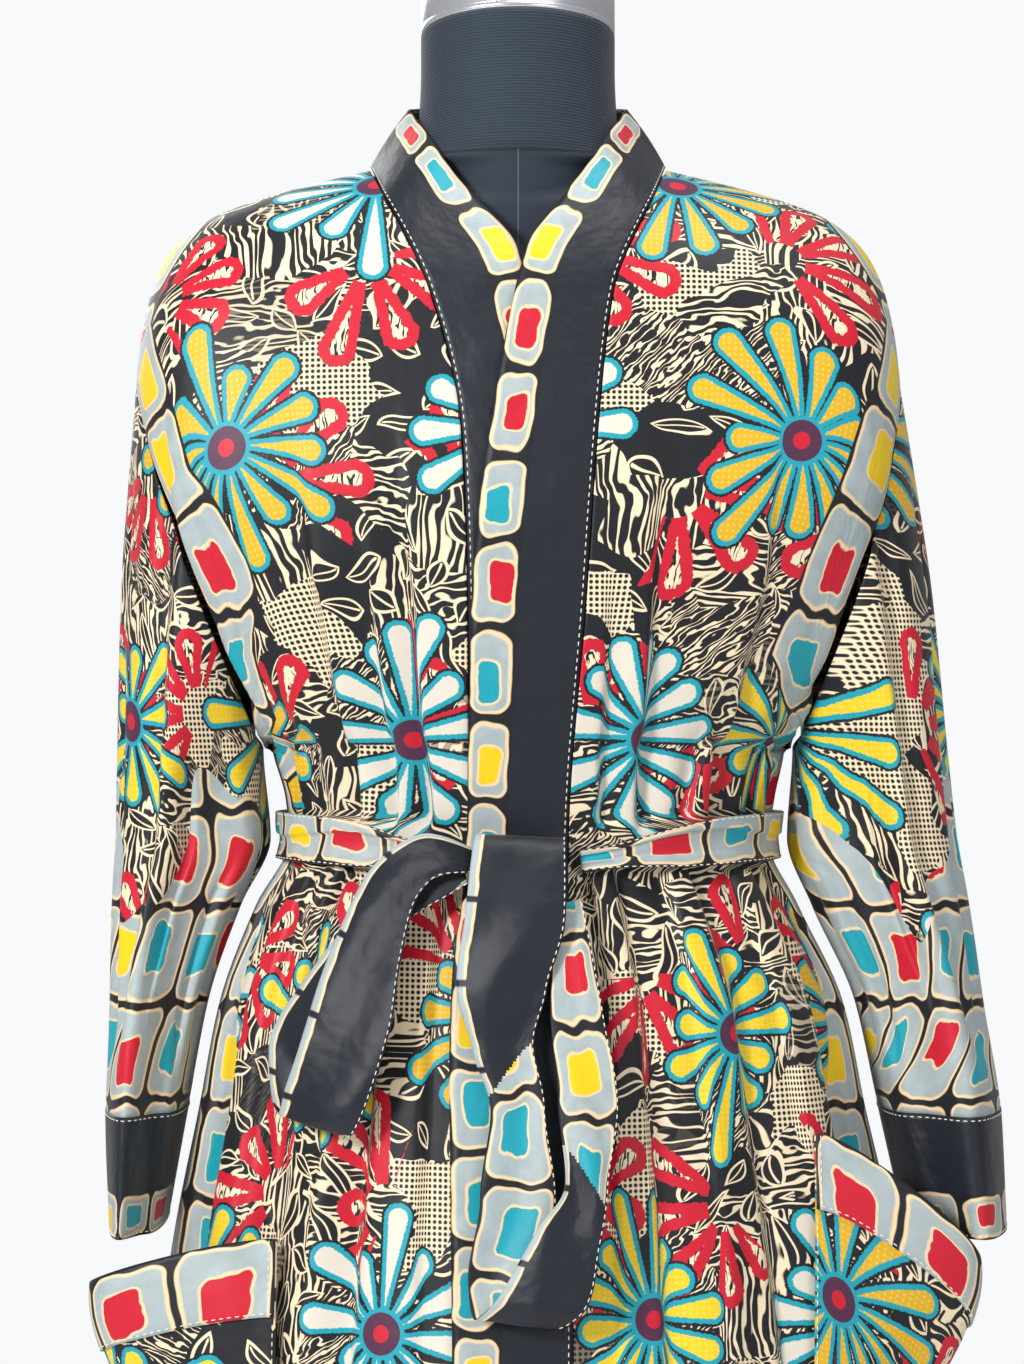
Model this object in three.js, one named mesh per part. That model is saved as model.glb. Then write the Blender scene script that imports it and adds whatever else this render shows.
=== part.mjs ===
// A long kimono robe with a tied sash, worn on a limbless dress form with a pole and a round base.
// Units are millimetres, +Z is up, the robe faces -Y, and the origin is on the floor under the form's pole.
import * as THREE from "three";

// Driving dimensions of the robe
const cloth = 1.4; // wall of the cloth
const seamGap = 0.7; // between two panels that are sewn together
const hemZ = 190;
const underarmZ = 1100;
const armholeTopZ = 1315;
const beltZ = 1046;
const beltHeight = 27;
const beltWall = 2.2;
const cuffTopZ = 888;
const cuffBottomZ = 818;
const neckHalfWidth = 88; // from the centre to the point where shoulder and neck seams meet
const neckZ = 1441;
const shoulderRound = 75; // the height over which the shoulder turns from the ridge to the chest
const sectionPower = 2.3; // 2 is an ellipse, more is squarer
const bandLift = 3.6; // how far the lapped band stands proud at its free edge

// Driving dimensions of the form and its stand
const neckRadius = 57.5;
const neckTopZ = 1521;
const capHeight = 34;
const torsoBottomZ = 815;
const poleRadius = 16;
const baseRadius = 185;
const baseHeight = 22;
const hubTopZ = 58;
const neckTilt = 8; // the neck's top rises towards the front
const fit = 0.35; // between a hard piece and its seat
const formDrop = 3.4; // how far the form's shoulders lie under the robe's surface
const formInset = 2.4;

// Half widths of the robe's body below the underarm, for the two sides, and its depths in front and behind
const bodySections = [
  { z: 190, right: 238, left: 246, front: 176, back: 172 },
  { z: 340, right: 232, left: 243, front: 170, back: 166 },
  { z: 540, right: 224, left: 240, front: 160, back: 156 },
  { z: 739, right: 214, left: 234, front: 150, back: 146 },
  { z: 818, right: 203, left: 222, front: 143, back: 139 },
  { z: 888, right: 189, left: 206, front: 134, back: 131 },
  { z: 950, right: 177, left: 193, front: 125, back: 121 },
  { z: 1006, right: 156, left: 167, front: 109, back: 103 },
  { z: 1046, right: 136, left: 149, front: 96, back: 88 },
  { z: 1069, right: 138, left: 152, front: 100, back: 90 },
  { z: 1100, right: 146, left: 158, front: 105, back: 93 },
  { z: 1160, right: 150, left: 160, front: 112, back: 95 },
  { z: 1240, right: 150, left: 160, front: 114, back: 97 },
  { z: 1320, right: 150, left: 160, front: 101, back: 96 },
  { z: 1400, right: 150, left: 160, front: 82, back: 84 },
  { z: 1441, right: 150, left: 160, front: 70, back: 74 },
];

// The shoulder's ridge, as height over distance from the centre
const ridge = [
  { x: 0, z: 1452 },
  { x: 60, z: 1447 },
  { x: 88, z: 1441 },
  { x: 140, z: 1428 },
  { x: 175, z: 1416 },
  { x: 192, z: 1406 },
  { x: 205, z: 1393 },
  { x: 215, z: 1374 },
  { x: 222, z: 1346 },
  { x: 226, z: 1315 },
];

// The hanging sleeves: outer and inner edge from the front, and half the depth, for the two sides
const sleeveSections = [
  { z: 818, rightOut: 240, rightIn: 209, leftOut: 288, leftIn: 230, depth: 90 },
  { z: 888, rightOut: 243, rightIn: 196, leftOut: 285, leftIn: 214, depth: 88 },
  { z: 950, rightOut: 241, rightIn: 184, leftOut: 275, leftIn: 200, depth: 84 },
  { z: 1006, rightOut: 240, rightIn: 164, leftOut: 267, leftIn: 174, depth: 80 },
  { z: 1046, rightOut: 239, rightIn: 146, leftOut: 261, leftIn: 159, depth: 77 },
  { z: 1100, rightOut: 237, rightIn: 150, leftOut: 254, leftIn: 162, depth: 77 },
  { z: 1207, rightOut: 234, rightIn: 150, leftOut: 243, leftIn: 160, depth: 72 },
  { z: 1315, rightOut: 226, rightIn: 150, leftOut: 226, leftIn: 160, depth: 60 },
];

// The centre seams where the neckband joins the fronts, and the band's free edges, by height
const frontSeams = [
  { z: 190, right: 26, left: 34, lapped: -33, under: 28 },
  { z: 739, right: 27, left: 31, lapped: -36, under: 24 },
  { z: 950, right: 28, left: 31, lapped: -38, under: 24 },
  { z: 1040, right: 28, left: 29, lapped: -29, under: 24 },
  { z: 1186, right: 29, left: 39, lapped: -26, under: 29 },
  { z: 1286, right: 33, left: 46, lapped: -15, under: 20 },
  { z: 1362, right: 51, left: 55, lapped: 1, under: 4 },
  { z: 1403, right: 69, left: 71, lapped: 20, under: -17 },
  { z: 1422, right: 79, left: 80, lapped: 33, under: -30 },
  { z: 1441, right: 88, left: 88, lapped: 50, under: -47 },
];

// The neckband over the shoulder and behind the neck: seam point and free point, from the centre back
const collarStations = [
  { seamX: 0, seamY: 71.2, seamZ: 1441.6, freeX: 0, freeY: 66.5, freeZ: 1488 },
  { seamX: 52, seamY: 57.7, seamZ: 1442.6, freeX: 45, freeY: 49, freeZ: 1486 },
  { seamX: 87.6, seamY: 0, seamZ: 1443.5, freeX: 64.6, freeY: 0, freeZ: 1478 },
];
const collarFront = [
  { seamZ: 1422, freeX: 49, freeY: -44, freeZ: 1452 },
  { seamZ: 1403, freeX: 31, freeY: -64, freeZ: 1425 },
];

// Long troughs in the body: place in degrees round the form (0 in front, + to the robe's left), width in
// degrees, depth, and the heights between which each runs
const bodyFolds = [
  { at: -68, width: 8, depth: 9, low: 190, high: 1010, lean: 4 },
  { at: -46, width: 6, depth: 8, low: 190, high: 1030, lean: -3 },
  { at: -27, width: 6, depth: 7, low: 190, high: 1035, lean: 2 },
  { at: 20, width: 5, depth: 8, low: 190, high: 1035, lean: -2 },
  { at: 36, width: 6, depth: 9, low: 190, high: 1025, lean: 3 },
  { at: 66, width: 7, depth: 8, low: 190, high: 1010, lean: -4 },
  { at: 112, width: 9, depth: 9, low: 190, high: 1010, lean: 4 },
  { at: 138, width: 8, depth: 10, low: 190, high: 1030, lean: -3 },
  { at: 164, width: 8, depth: 8, low: 190, high: 1030, lean: 2 },
  { at: -166, width: 8, depth: 9, low: 190, high: 1025, lean: 3 },
  { at: -141, width: 9, depth: 10, low: 190, high: 1025, lean: -2 },
  { at: -113, width: 8, depth: 8, low: 190, high: 1010, lean: -4 },
  { at: -52, width: 7, depth: 6, low: 1062, high: 1250, lean: 5 },
  { at: -33, width: 6, depth: 5, low: 1062, high: 1210, lean: 2 },
  { at: 33, width: 6, depth: 5, low: 1062, high: 1220, lean: -3 },
  { at: 54, width: 7, depth: 6, low: 1062, high: 1260, lean: -5 },
  { at: 130, width: 9, depth: 6, low: 1062, high: 1240, lean: -6 },
  { at: 160, width: 8, depth: 5, low: 1062, high: 1200, lean: -2 },
  { at: -158, width: 8, depth: 5, low: 1062, high: 1210, lean: 3 },
  { at: -128, width: 9, depth: 6, low: 1062, high: 1250, lean: 6 },
];

// Troughs down each sleeve: degrees round the tube (0 outside, 90 in front), width, depth
const sleeveFolds = [
  { at: 112, width: 30, depth: 24 },
  { at: 38, width: 15, depth: 4 },
  { at: 248, width: 28, depth: 16 },
];

// The dress form: half width and depths in front and behind, up to where the shoulders start
const formSections = [
  { z: 815, width: 158, front: 110, back: 108 },
  { z: 880, width: 160, front: 110, back: 110 },
  { z: 950, width: 150, front: 100, back: 100 },
  { z: 1006, width: 128, front: 84, back: 82 },
  { z: 1046, width: 116, front: 79, back: 72 },
  { z: 1100, width: 121, front: 86, back: 76 },
  { z: 1180, width: 137, front: 98, back: 84 },
  { z: 1240, width: 144, front: 101, back: 88 },
  { z: 1310, width: 150, front: 88, back: 86 },
  { z: 1360, width: 166, front: 72, back: 76 },
  { z: 1392, width: 184, front: 60, back: 62 },
];

// The neck above the shoulders
const neckSections = [
  { z: 1443, width: 74, front: 58, back: 60 },
  { z: 1452, width: 63, front: 59, back: 60 },
  { z: 1475, width: 58.5, front: 58.5, back: 58.5 },
  { z: 1500, width: 57.5, front: 57.5, back: 57.5 },
  { z: 1521, width: 57.5, front: 57.5, back: 57.5 },
];

const formHeights = [821, 850, 880, 915, 950, 980, 1006, 1046, 1100, 1160, 1220, 1275, 1320, 1350, 1375, 1392];

// The patch pockets: where the inner edge is, heights of the mouth and the foot, and how the mouth gapes
const pockets = {
  right: { inner: 137, mouthIn: 823, mouthOut: 790, footIn: 640, footOut: 628, gape: 50, reach: 0.96 },
  left: { inner: 168, mouthIn: 880, mouthOut: 796, footIn: 690, footOut: 640, gape: 52, reach: 0.96 },
};
const pocketLift = 4;
const pocketBand = 43;

// The bow's two loops as stations along the ribbon: place, stand-off from the robe, half width, and the
// tilt of the ribbon's width in the front view
const loops = {
  right: [
    { t: 0, x: -23, z: 1036, lift: 11.7, half: 6, tilt: -82 },
    { t: 0.08, x: -46, z: 1041, lift: 25, half: 12, tilt: -72 },
    { t: 0.17, x: -68, z: 1026, lift: 25, half: 15, tilt: -42 },
    { t: 0.28, x: -83, z: 990, lift: 24, half: 19, tilt: -24 },
    { t: 0.4, x: -94, z: 948, lift: 25, half: 23, tilt: -20 },
    { t: 0.52, x: -108, z: 905, lift: 24, half: 23, tilt: -16 },
    { t: 0.58, x: -115, z: 889, lift: 17, half: 21, tilt: -14 },
    { t: 0.63, x: -120, z: 894, lift: 9, half: 20, tilt: -14 },
    { t: 0.72, x: -124, z: 925, lift: 6, half: 19, tilt: -18 },
    { t: 0.82, x: -104, z: 968, lift: 7, half: 15, tilt: -26 },
    { t: 0.92, x: -72, z: 1008, lift: 12, half: 10, tilt: -45 },
    { t: 1, x: -30, z: 1029, lift: 15, half: 5, tilt: -70 },
  ],
  left: [
    { t: 0, x: 2, z: 1041, lift: 20.8, half: 25, tilt: -3 },
    { t: 0.1, x: -2, z: 1003, lift: 23, half: 28, tilt: -3 },
    { t: 0.19, x: -9, z: 964, lift: 17, half: 25, tilt: 2 },
    { t: 0.26, x: -8, z: 934, lift: 11, half: 17, tilt: 8 },
    { t: 0.34, x: 0, z: 899, lift: 10, half: 15, tilt: 4 },
    { t: 0.42, x: 0, z: 851, lift: 10, half: 21, tilt: 0 },
    { t: 0.5, x: -8, z: 806, lift: 11, half: 20, tilt: -4 },
    { t: 0.55, x: -1, z: 782, lift: 15, half: 23, tilt: -6 },
    { t: 0.59, x: 13, z: 794, lift: 23, half: 24, tilt: -10 },
    { t: 0.67, x: 28, z: 831, lift: 24, half: 18, tilt: -14 },
    { t: 0.73, x: 38, z: 858, lift: 22, half: 12, tilt: -10 },
    { t: 0.82, x: 39, z: 903, lift: 18, half: 17, tilt: -4 },
    { t: 0.91, x: 33, z: 950, lift: 15, half: 15, tilt: 4 },
    { t: 1, x: 28, z: 1014, lift: 13, half: 8, tilt: 8 },
  ],
};

const clamp01 = (t) => Math.min(1, Math.max(0, t));
const smooth = (t) => clamp01(t) ** 2 * (3 - 2 * clamp01(t));
const mix = (a, b, t) => a + (b - a) * t;
const degrees = (t) => (t * Math.PI) / 180;

// Reads one column of a table at a key, with a smooth monotone curve between its rows
function read(table, key, column, at) {
  const last = table.length - 1;
  if (at <= table[0][key]) return table[0][column];
  if (at >= table[last][key]) return table[last][column];
  let i = 0;
  while (table[i + 1][key] < at) i++;
  const slope = (k) => (table[k + 1][column] - table[k][column]) / (table[k + 1][key] - table[k][key]);
  const tangent = (k) => {
    if (k === 0) return slope(0);
    if (k === last) return slope(last - 1);
    const before = slope(k - 1);
    const after = slope(k);
    return before * after <= 0 ? 0 : (2 * before * after) / (before + after);
  };
  const h = table[i + 1][key] - table[i][key];
  const t = (at - table[i][key]) / h;
  const keep = (1 + 2 * t) * (1 - t) ** 2 * table[i][column] + t * t * (3 - 2 * t) * table[i + 1][column];
  return keep + h * t * (1 - t) ** 2 * tangent(i) - h * t * t * (1 - t) * tangent(i + 1);
}

const bodyAt = (column, z) => read(bodySections, "z", column, z);
const ridgeAt = (x) => read(ridge, "x", "z", Math.abs(x));
const seamAt = (column, z) => read(frontSeams, "z", column, z);

// One side of the robe: "right" and "left" are the wearer's, and the sign is that of x
const sides = { right: -1, left: 1 };

// A point of the sleeve's surface at a turn round it (0 outside, 90 in front) and a height
function sleevePoint(side, turn, z) {
  const outer = read(sleeveSections, "z", side + "Out", z);
  const inner = read(sleeveSections, "z", side + "In", z);
  const depth = read(sleeveSections, "z", "depth", z);
  const grown = smooth((1180 - z) / 120);
  let pull = 0;
  for (const fold of sleeveFolds) {
    const off = ((((turn - fold.at) % 360) + 540) % 360) - 180;
    pull += fold.depth * grown * Math.exp(-((off / fold.width) ** 2));
  }
  const angle = degrees(turn);
  const x = (outer + inner) / 2 + ((outer - inner) / 2) * Math.cos(angle);
  const y = -(depth - pull) * Math.sin(angle);
  return new THREE.Vector3(sides[side] * x, y, z);
}

// The armhole seam: share 0 at its top, 1 at the underarm, on the front or the back
function armhole(side, share, face) {
  const turn = (Math.acos(1 - 2 * share) * 180) / Math.PI;
  const point = sleevePoint(side, turn, mix(armholeTopZ, underarmZ, share));
  return { x: Math.abs(point.x), y: Math.abs(point.y) * (face === "front" ? -1 : 1) };
}

// How far a place in the body is drawn in by the folds
function foldDepth(turn, z) {
  let pull = 0;
  for (const fold of bodyFolds) {
    const middle = (fold.low + fold.high) / 2;
    const lean = (fold.lean * (z - middle)) / (fold.high - fold.low);
    const off = ((((turn - fold.at - lean) % 360) + 540) % 360) - 180;
    const fade = (fold.high - fold.low) * 0.3;
    const into = fold.low === hemZ ? 1 : smooth((z - fold.low) / fade);
    pull += fold.depth * into * smooth((fold.high - z) / fade) * Math.exp(-((off / fold.width) ** 2));
  }
  return pull;
}

// Height of the upper rows: level with the neck's seam at the centre, with the armhole at the side
function rowHeight(side, share, x) {
  const reach = armhole(side, share, "front").x;
  const top = Math.min(neckZ, ridgeAt((x * armhole(side, 0, "front").x) / reach));
  return mix(top, underarmZ, share);
}

// The share of the armhole that is level with a place on the body
function armholeShare(side, x, z) {
  let [above, below] = [0, 1];
  for (let pass = 0; pass < 20; pass++) {
    const share = (above + below) / 2;
    if (rowHeight(side, share, x) > z) above = share;
    else below = share;
  }
  return above < 1e-5 ? 0 : (above + below) / 2;
}

// The body's surface: depth at a distance from the centre and a height, moved out by lift
function bodyPoint(side, face, x, z, lift = 0, folded = true) {
  const top = ridgeAt(x);
  const upper = z > underarmZ;
  const edge = upper ? armhole(side, armholeShare(side, x, z), face) : { x: bodyAt(side, z), y: 0 };
  const deep = bodyAt(face, z);
  const across = clamp01(x / edge.x);
  const curve = (1 - across ** sectionPower) ** (1 / sectionPower);
  const start = face === "back" ? Math.asin(clamp01(neckBackY(x) / (deep * Math.max(curve, 0.2)))) : 0;
  const turned = Math.acos(1 - clamp01((top - z) / shoulderRound));
  const raised = upper ? Math.sin(start + (Math.PI / 2 - start) * (turned / (Math.PI / 2))) : 1;
  const sign = face === "front" ? -1 : 1;
  const y = edge.y + (sign * deep * raised - edge.y) * curve;
  const quarter = (Math.atan2(across, Math.abs(y) / deep + 1e-9) * 180) / Math.PI;
  const round = face === "front" ? quarter : 180 - quarter;
  const out = lift - (folded ? foldDepth(sides[side] * round, z) : 0);
  const length = Math.hypot(across, curve) || 1;
  return new THREE.Vector3(sides[side] * (x + (out * across) / length), y + (sign * out * curve) / length, z);
}

// The back neck's curve, as depth over distance from the centre
function neckBackY(x) {
  return 72 * Math.sqrt(Math.max(0, 1 - (x / neckHalfWidth) ** 2));
}

// A closed thin wall from a grid of outer points, whose rows run down and whose columns run to the left as
// seen from outside: inner points lie behind them, square at centre seams
function wall(grid, thickness, { round = false, square = false } = {}) {
  const rows = grid.length;
  const columns = grid[0].length;
  const at = (i, j) => grid[i][round ? (j + columns) % columns : Math.min(columns - 1, Math.max(0, j))];
  const outer = [];
  const inner = [];
  for (let i = 0; i < rows; i++) {
    for (let j = 0; j < columns; j++) {
      const along = at(Math.min(rows - 1, i + 1), j).clone().sub(at(Math.max(0, i - 1), j));
      const across = at(i, j + 1).clone().sub(at(i, j - 1));
      const normal = across.cross(along).normalize();
      const point = at(i, j);
      if (square && Math.abs(point.y) < 2) normal.setY(0).normalize();
      outer.push(point);
      inner.push(point.clone().addScaledVector(normal, -thickness));
    }
  }
  const index = [];
  const count = rows * columns;
  const id = (i, j) => i * columns + (round ? j % columns : j);
  const quad = (a, b, c, d) => index.push(a, b, c, a, c, d);
  const spans = round ? columns : columns - 1;
  for (let i = 0; i + 1 < rows; i++) {
    for (let j = 0; j < spans; j++) {
      quad(id(i, j), id(i, j + 1), id(i + 1, j + 1), id(i + 1, j));
      quad(count + id(i, j), count + id(i + 1, j), count + id(i + 1, j + 1), count + id(i, j + 1));
    }
  }
  for (let j = 0; j < spans; j++) {
    quad(id(0, j), count + id(0, j), count + id(0, j + 1), id(0, j + 1));
    quad(id(rows - 1, j), id(rows - 1, j + 1), count + id(rows - 1, j + 1), count + id(rows - 1, j));
  }
  for (let i = 0; !round && i + 1 < rows; i++) {
    quad(id(i, 0), id(i + 1, 0), count + id(i + 1, 0), count + id(i, 0));
    quad(id(i, columns - 1), count + id(i, columns - 1), count + id(i + 1, columns - 1), id(i + 1, columns - 1));
  }
  return closed([...outer, ...inner], index);
}

// A geometry with its faces turned out
function closed(points, index) {
  const geometry = new THREE.BufferGeometry().setFromPoints(points);
  let volume = 0;
  for (let i = 0; i < index.length; i += 3) {
    const [a, b, c] = [points[index[i]], points[index[i + 1]], points[index[i + 2]]];
    volume += a.dot(b.clone().cross(c));
  }
  if (volume < 0) for (let i = 0; i < index.length; i += 3) [index[i], index[i + 1]] = [index[i + 1], index[i]];
  geometry.setIndex(index);
  return geometry;
}

// A solid lofted through rings of points, capped flat at both ends
function loft(rings) {
  const around = rings[0].length;
  const points = rings.flat();
  const index = [];
  for (let i = 0; i + 1 < rings.length; i++) {
    for (let j = 0; j < around; j++) {
      const [a, b] = [i * around + j, i * around + ((j + 1) % around)];
      index.push(a, b, b + around, a, b + around, a + around);
    }
  }
  const end = points.length - around;
  for (let j = 1; j + 1 < around; j++) {
    index.push(0, j + 1, j);
    index.push(end, end + j, end + j + 1);
  }
  return closed(points, index);
}

const shares = (count) => Array.from({ length: count + 1 }, (_, i) => i / count);

// Rows down the body: the upper ones run from the shoulder's ridge to the underarm, the lower ones are level
const upperRows = shares(10).map((t) => ({ drop: t * t }));
const lowerHeights = [1088, 1069, 1046, 1024, 1000, 965, 920, 870, 810, 740, 660, 570, 470, 375, 280, 190];
const bodyRows = [...upperRows, ...lowerHeights.map((z) => ({ z }))];

// A row of one face: distances from the centre between two limits, closer together towards the side
function bodyRow(side, face, row, columns, inside) {
  return shares(columns).map((share) => {
    const bend = Math.sin((share * Math.PI) / 2);
    let z = row.z ?? neckZ;
    let x = 0;
    for (let pass = 0; pass < 8; pass++) {
      const outer = row.z ? bodyAt(side, z) : armhole(side, row.drop, face).x;
      x = mix(inside(z), outer, bend);
      if (!row.z) z = rowHeight(side, row.drop, x);
    }
    const point = bodyPoint(side, face, x, z);
    const edgeRow = row.drop === 0 && x >= neckHalfWidth;
    const gap = seamGap / 2;
    if (share === 1 && !row.z) point.x -= sides[side] * seamGap * (1 + 2 * row.drop);
    if (edgeRow || share === 1) point.y = face === "front" ? Math.min(point.y, -gap) : Math.max(point.y, gap);
    return point;
  });
}

function frontPanel(side) {
  const rows = bodyRows.map((row) => bodyRow(side, "front", row, 16, (z) => seamAt(side, z)));
  if (side === "left") rows.forEach((row) => row.reverse());
  return wall(rows, cloth, { square: true });
}

function backPanel() {
  const half = (side, row) => bodyRow(side, "back", row, 16, () => 0);
  const rows = bodyRows.map((row) => [...half("right", row).reverse(), ...half("left", row).slice(1)]);
  return wall(rows, cloth, { square: true });
}

// A sleeve from the armhole seam to the cuff, and the cuff below it
const turnsOf = (side) => shares(24).slice(0, 24).map((t) => t * 360 * sides[side]);

function sleeve(side) {
  const rows = shares(11).map((t) =>
    turnsOf(side).map((turn) => {
      const top = mix(armholeTopZ, underarmZ, (1 - Math.cos(degrees(turn))) / 2) - 1.8;
      return sleevePoint(side, turn, mix(top, cuffTopZ, t));
    }),
  );
  return wall(rows, cloth, { round: true });
}

function cuff(side) {
  const heights = [cuffTopZ - 0.4, cuffTopZ - 24, cuffTopZ - 47, cuffBottomZ];
  return wall(heights.map((z) => turnsOf(side).map((turn) => sleevePoint(side, turn, z))), cloth, { round: true });
}

// Points of the neckband's two edges on one front, from the shoulder to the hem
const bandHeights = [1403, 1383, 1362, 1325, 1286, 1236, 1186, 1140, 1090, 1046, 1015, 980, 930, 860, 739, 600, 470, 330, 190];

function bandStations(side) {
  const lapped = side === "left";
  const s = sides[side];
  const over = collarStations[2];
  const stations = [
    {
      seam: new THREE.Vector3(s * over.seamX, -1.2, over.seamZ),
      free: new THREE.Vector3(s * over.freeX, -1.2, over.freeZ),
    },
  ];
  for (const row of collarFront) {
    const x = seamAt(side, row.seamZ) - seamGap - 0.4;
    const seam = bodyPoint(side, "front", x, row.seamZ, 1.1);
    stations.push({ seam, free: new THREE.Vector3(s * row.freeX, row.freeY - (lapped ? bandLift : 0), row.freeZ) });
  }
  for (const z of bandHeights.slice(1)) {
    const seam = bodyPoint(side, "front", seamAt(side, z) - seamGap, z, 0);
    const freeX = lapped ? seamAt("lapped", z) : seamAt("under", z);
    const under = freeX < 0 ? "right" : "left";
    const lift = lapped ? bandLift : -bandLift;
    const rise = 14 * smooth((z - 1286) / 100);
    stations.push({ seam, free: bodyPoint(under, "front", Math.abs(freeX), z + rise, lift) });
  }
  return stations;
}

// A band ruled from its seam edge to its free edge, with a soft roll across it
function bandWall(stations, curved, flip) {
  const across = [0, 0.34, 0.68, 1];
  const seams = new THREE.CatmullRomCurve3(stations.map((s) => s.seam), false, "catmullrom", 0.5);
  const frees = new THREE.CatmullRomCurve3(stations.map((s) => s.free), false, "catmullrom", 0.5);
  const steps = curved;
  const rows = shares(steps).map((t) => {
    const [seam, free] = [seams.getPoint(t), frees.getPoint(t)];
    const row = across.map((share) => seam.clone().lerp(free, share));
    return flip ? row.reverse() : row;
  });
  return wall(rows, cloth);
}

function frontBand(side) {
  return bandWall(bandStations(side), 40, side === "right");
}

function backBand() {
  const half = (s, list) =>
    list.map((row) => {
      const y = row.seamX > 80 ? 0.4 : 0;
      return {
        seam: new THREE.Vector3(s * row.seamX, row.seamY + y, row.seamZ),
        free: new THREE.Vector3(s * row.freeX, row.freeY + y, row.freeZ),
      };
    });
  const stations = [...half(-1, [...collarStations].reverse()), ...half(1, collarStations.slice(1))];
  return bandWall(stations, 20, false);
}

// A point of a patch pocket: u runs from the inner edge to the side, v from the mouth to the foot
function pocketPoint(side, u, v) {
  const p = pockets[side];
  const z = mix(mix(p.mouthIn, p.mouthOut, smooth(u * 1.15)), mix(p.footIn, p.footOut, u), v);
  const outer = bodyAt(side, z) * p.reach;
  const x = mix(p.inner, outer, Math.sin((u * Math.PI) / 2));
  const sewn = bodyPoint(side, "front", x, z, cloth + 0.9);
  const bag = bodyPoint(side, "front", x, z, pocketLift, false);
  const inside = smooth(Math.min(u, 1 - u) * 6) * smooth((1 - v) * 5);
  const point = sewn.lerp(bag, inside);
  const open = p.gape * Math.sin(Math.PI * u ** 1.5) * (1 - smooth(v * 1.1)) ** 1.4;
  point.x += sides[side] * open;
  point.y -= 0.3 * open;
  return point;
}

function pocketGrid(side, rows) {
  return rows.map((v) => shares(12).map((u) => pocketPoint(side, side === "left" ? 1 - u : u, v)));
}

// The same grid, moved out along its own normals
function movedOut(grid, distance) {
  return grid.map((row, i) =>
    row.map((point, j) => {
      const along = grid[Math.min(grid.length - 1, i + 1)][j].clone().sub(grid[Math.max(0, i - 1)][j]);
      const across = row[Math.min(row.length - 1, j + 1)].clone().sub(row[Math.max(0, j - 1)]);
      return point.clone().addScaledVector(across.cross(along).normalize(), distance);
    }),
  );
}

function buildPocket(group, add, side) {
  const p = pockets[side];
  const bandShare = pocketBand / (p.mouthIn - p.footIn);
  const rows = [0, bandShare / 2, bandShare, 0.36, 0.5, 0.66, 0.83, 1];
  add(group, "pocket_" + side, wall(pocketGrid(side, rows), cloth), "print");
  const band = movedOut(pocketGrid(side, [0, bandShare / 2, bandShare]), cloth + 0.5);
  add(group, "pocket_band_" + side, wall(band, cloth), "tiles");
}

// A place on the body at a turn round it, in degrees from the front, positive towards the robe's left
function aroundBody(turn, z, lift) {
  const wrapped = ((((turn % 360) + 540) % 360) - 180);
  const side = wrapped < 0 ? "right" : "left";
  const face = Math.abs(wrapped) <= 90 ? "front" : "back";
  return bodyPoint(side, face, bodyAt(side, z) * Math.abs(Math.sin(degrees(wrapped))), z, lift);
}

// The sash round the waist, from one flank of the knot to the other
function sash() {
  const [start, end] = [-12.5, -347];
  const across = [1, 0.4, -0.4, -1];
  const rows = across.map((share) =>
    shares(52).map((t) => {
      const turn = mix(start, end, t);
      const wrapped = turn < -180 ? turn + 360 : turn;
      const near = Math.exp(-((wrapped / 34) ** 2));
      const height = mix(beltHeight, 12, smooth(1.35 * near - 0.1));
      const z = beltZ + 2 - 13 * near + (share * height) / 2;
      const lift = beltWall + 2.4 + 4.5 * near + 0.8 * (1 - share * share);
      return aroundBody(turn, z, lift);
    }),
  );
  return wall(rows, beltWall);
}

// The knot: a squat bundle lying across the front
function knot() {
  const [half, high, deep] = [24, 13, 9];
  const middle = aroundBody(0, 1034, 2.7 + deep);
  const rings = shares(8).map((t) => {
    const along = mix(-1, 1, mix(0.04, 0.96, t));
    const swell = Math.sqrt(1 - along ** 4);
    return shares(14).slice(0, 14).map((turn) => {
      const angle = turn * 2 * Math.PI;
      const y = middle.y + deep * swell * Math.cos(angle);
      return new THREE.Vector3(1.5 + half * along, y, middle.z + high * swell * Math.sin(angle) - 2 * along);
    });
  });
  return loft(rings);
}

// One loop of the bow: a ribbon through its stations, slightly hollow across
function bowLoop(side) {
  const across = [-1, -0.35, 0.35, 1];
  const rows = shares(38).map((t) => {
    const at = (column) => read(loops[side], "t", column, t);
    const [x, z, tilt] = [at("x"), at("z"), degrees(at("tilt"))];
    return across.map((share) => {
      const [px, pz] = [x + share * at("half") * Math.cos(tilt), z + share * at("half") * Math.sin(tilt)];
      const under = bodyPoint(px < 0 ? "right" : "left", "front", Math.abs(px), pz, at("lift"), false);
      return new THREE.Vector3(px, under.y - 1.5 * (1 - share * share), pz);
    });
  });
  return wall(rows, beltWall);
}

// Half width of the form where its shoulders lie just under the robe's ridge
function formShoulder(z) {
  let [near, far] = [neckRadius, 200];
  for (let pass = 0; pass < 30; pass++) {
    const middle = (near + far) / 2;
    if (ridgeAt(middle) > z + formDrop + 2) near = middle;
    else far = middle;
  }
  return near;
}

const formTurns = shares(26).slice(0, 26).map((t) => t * 2 * Math.PI);

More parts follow.
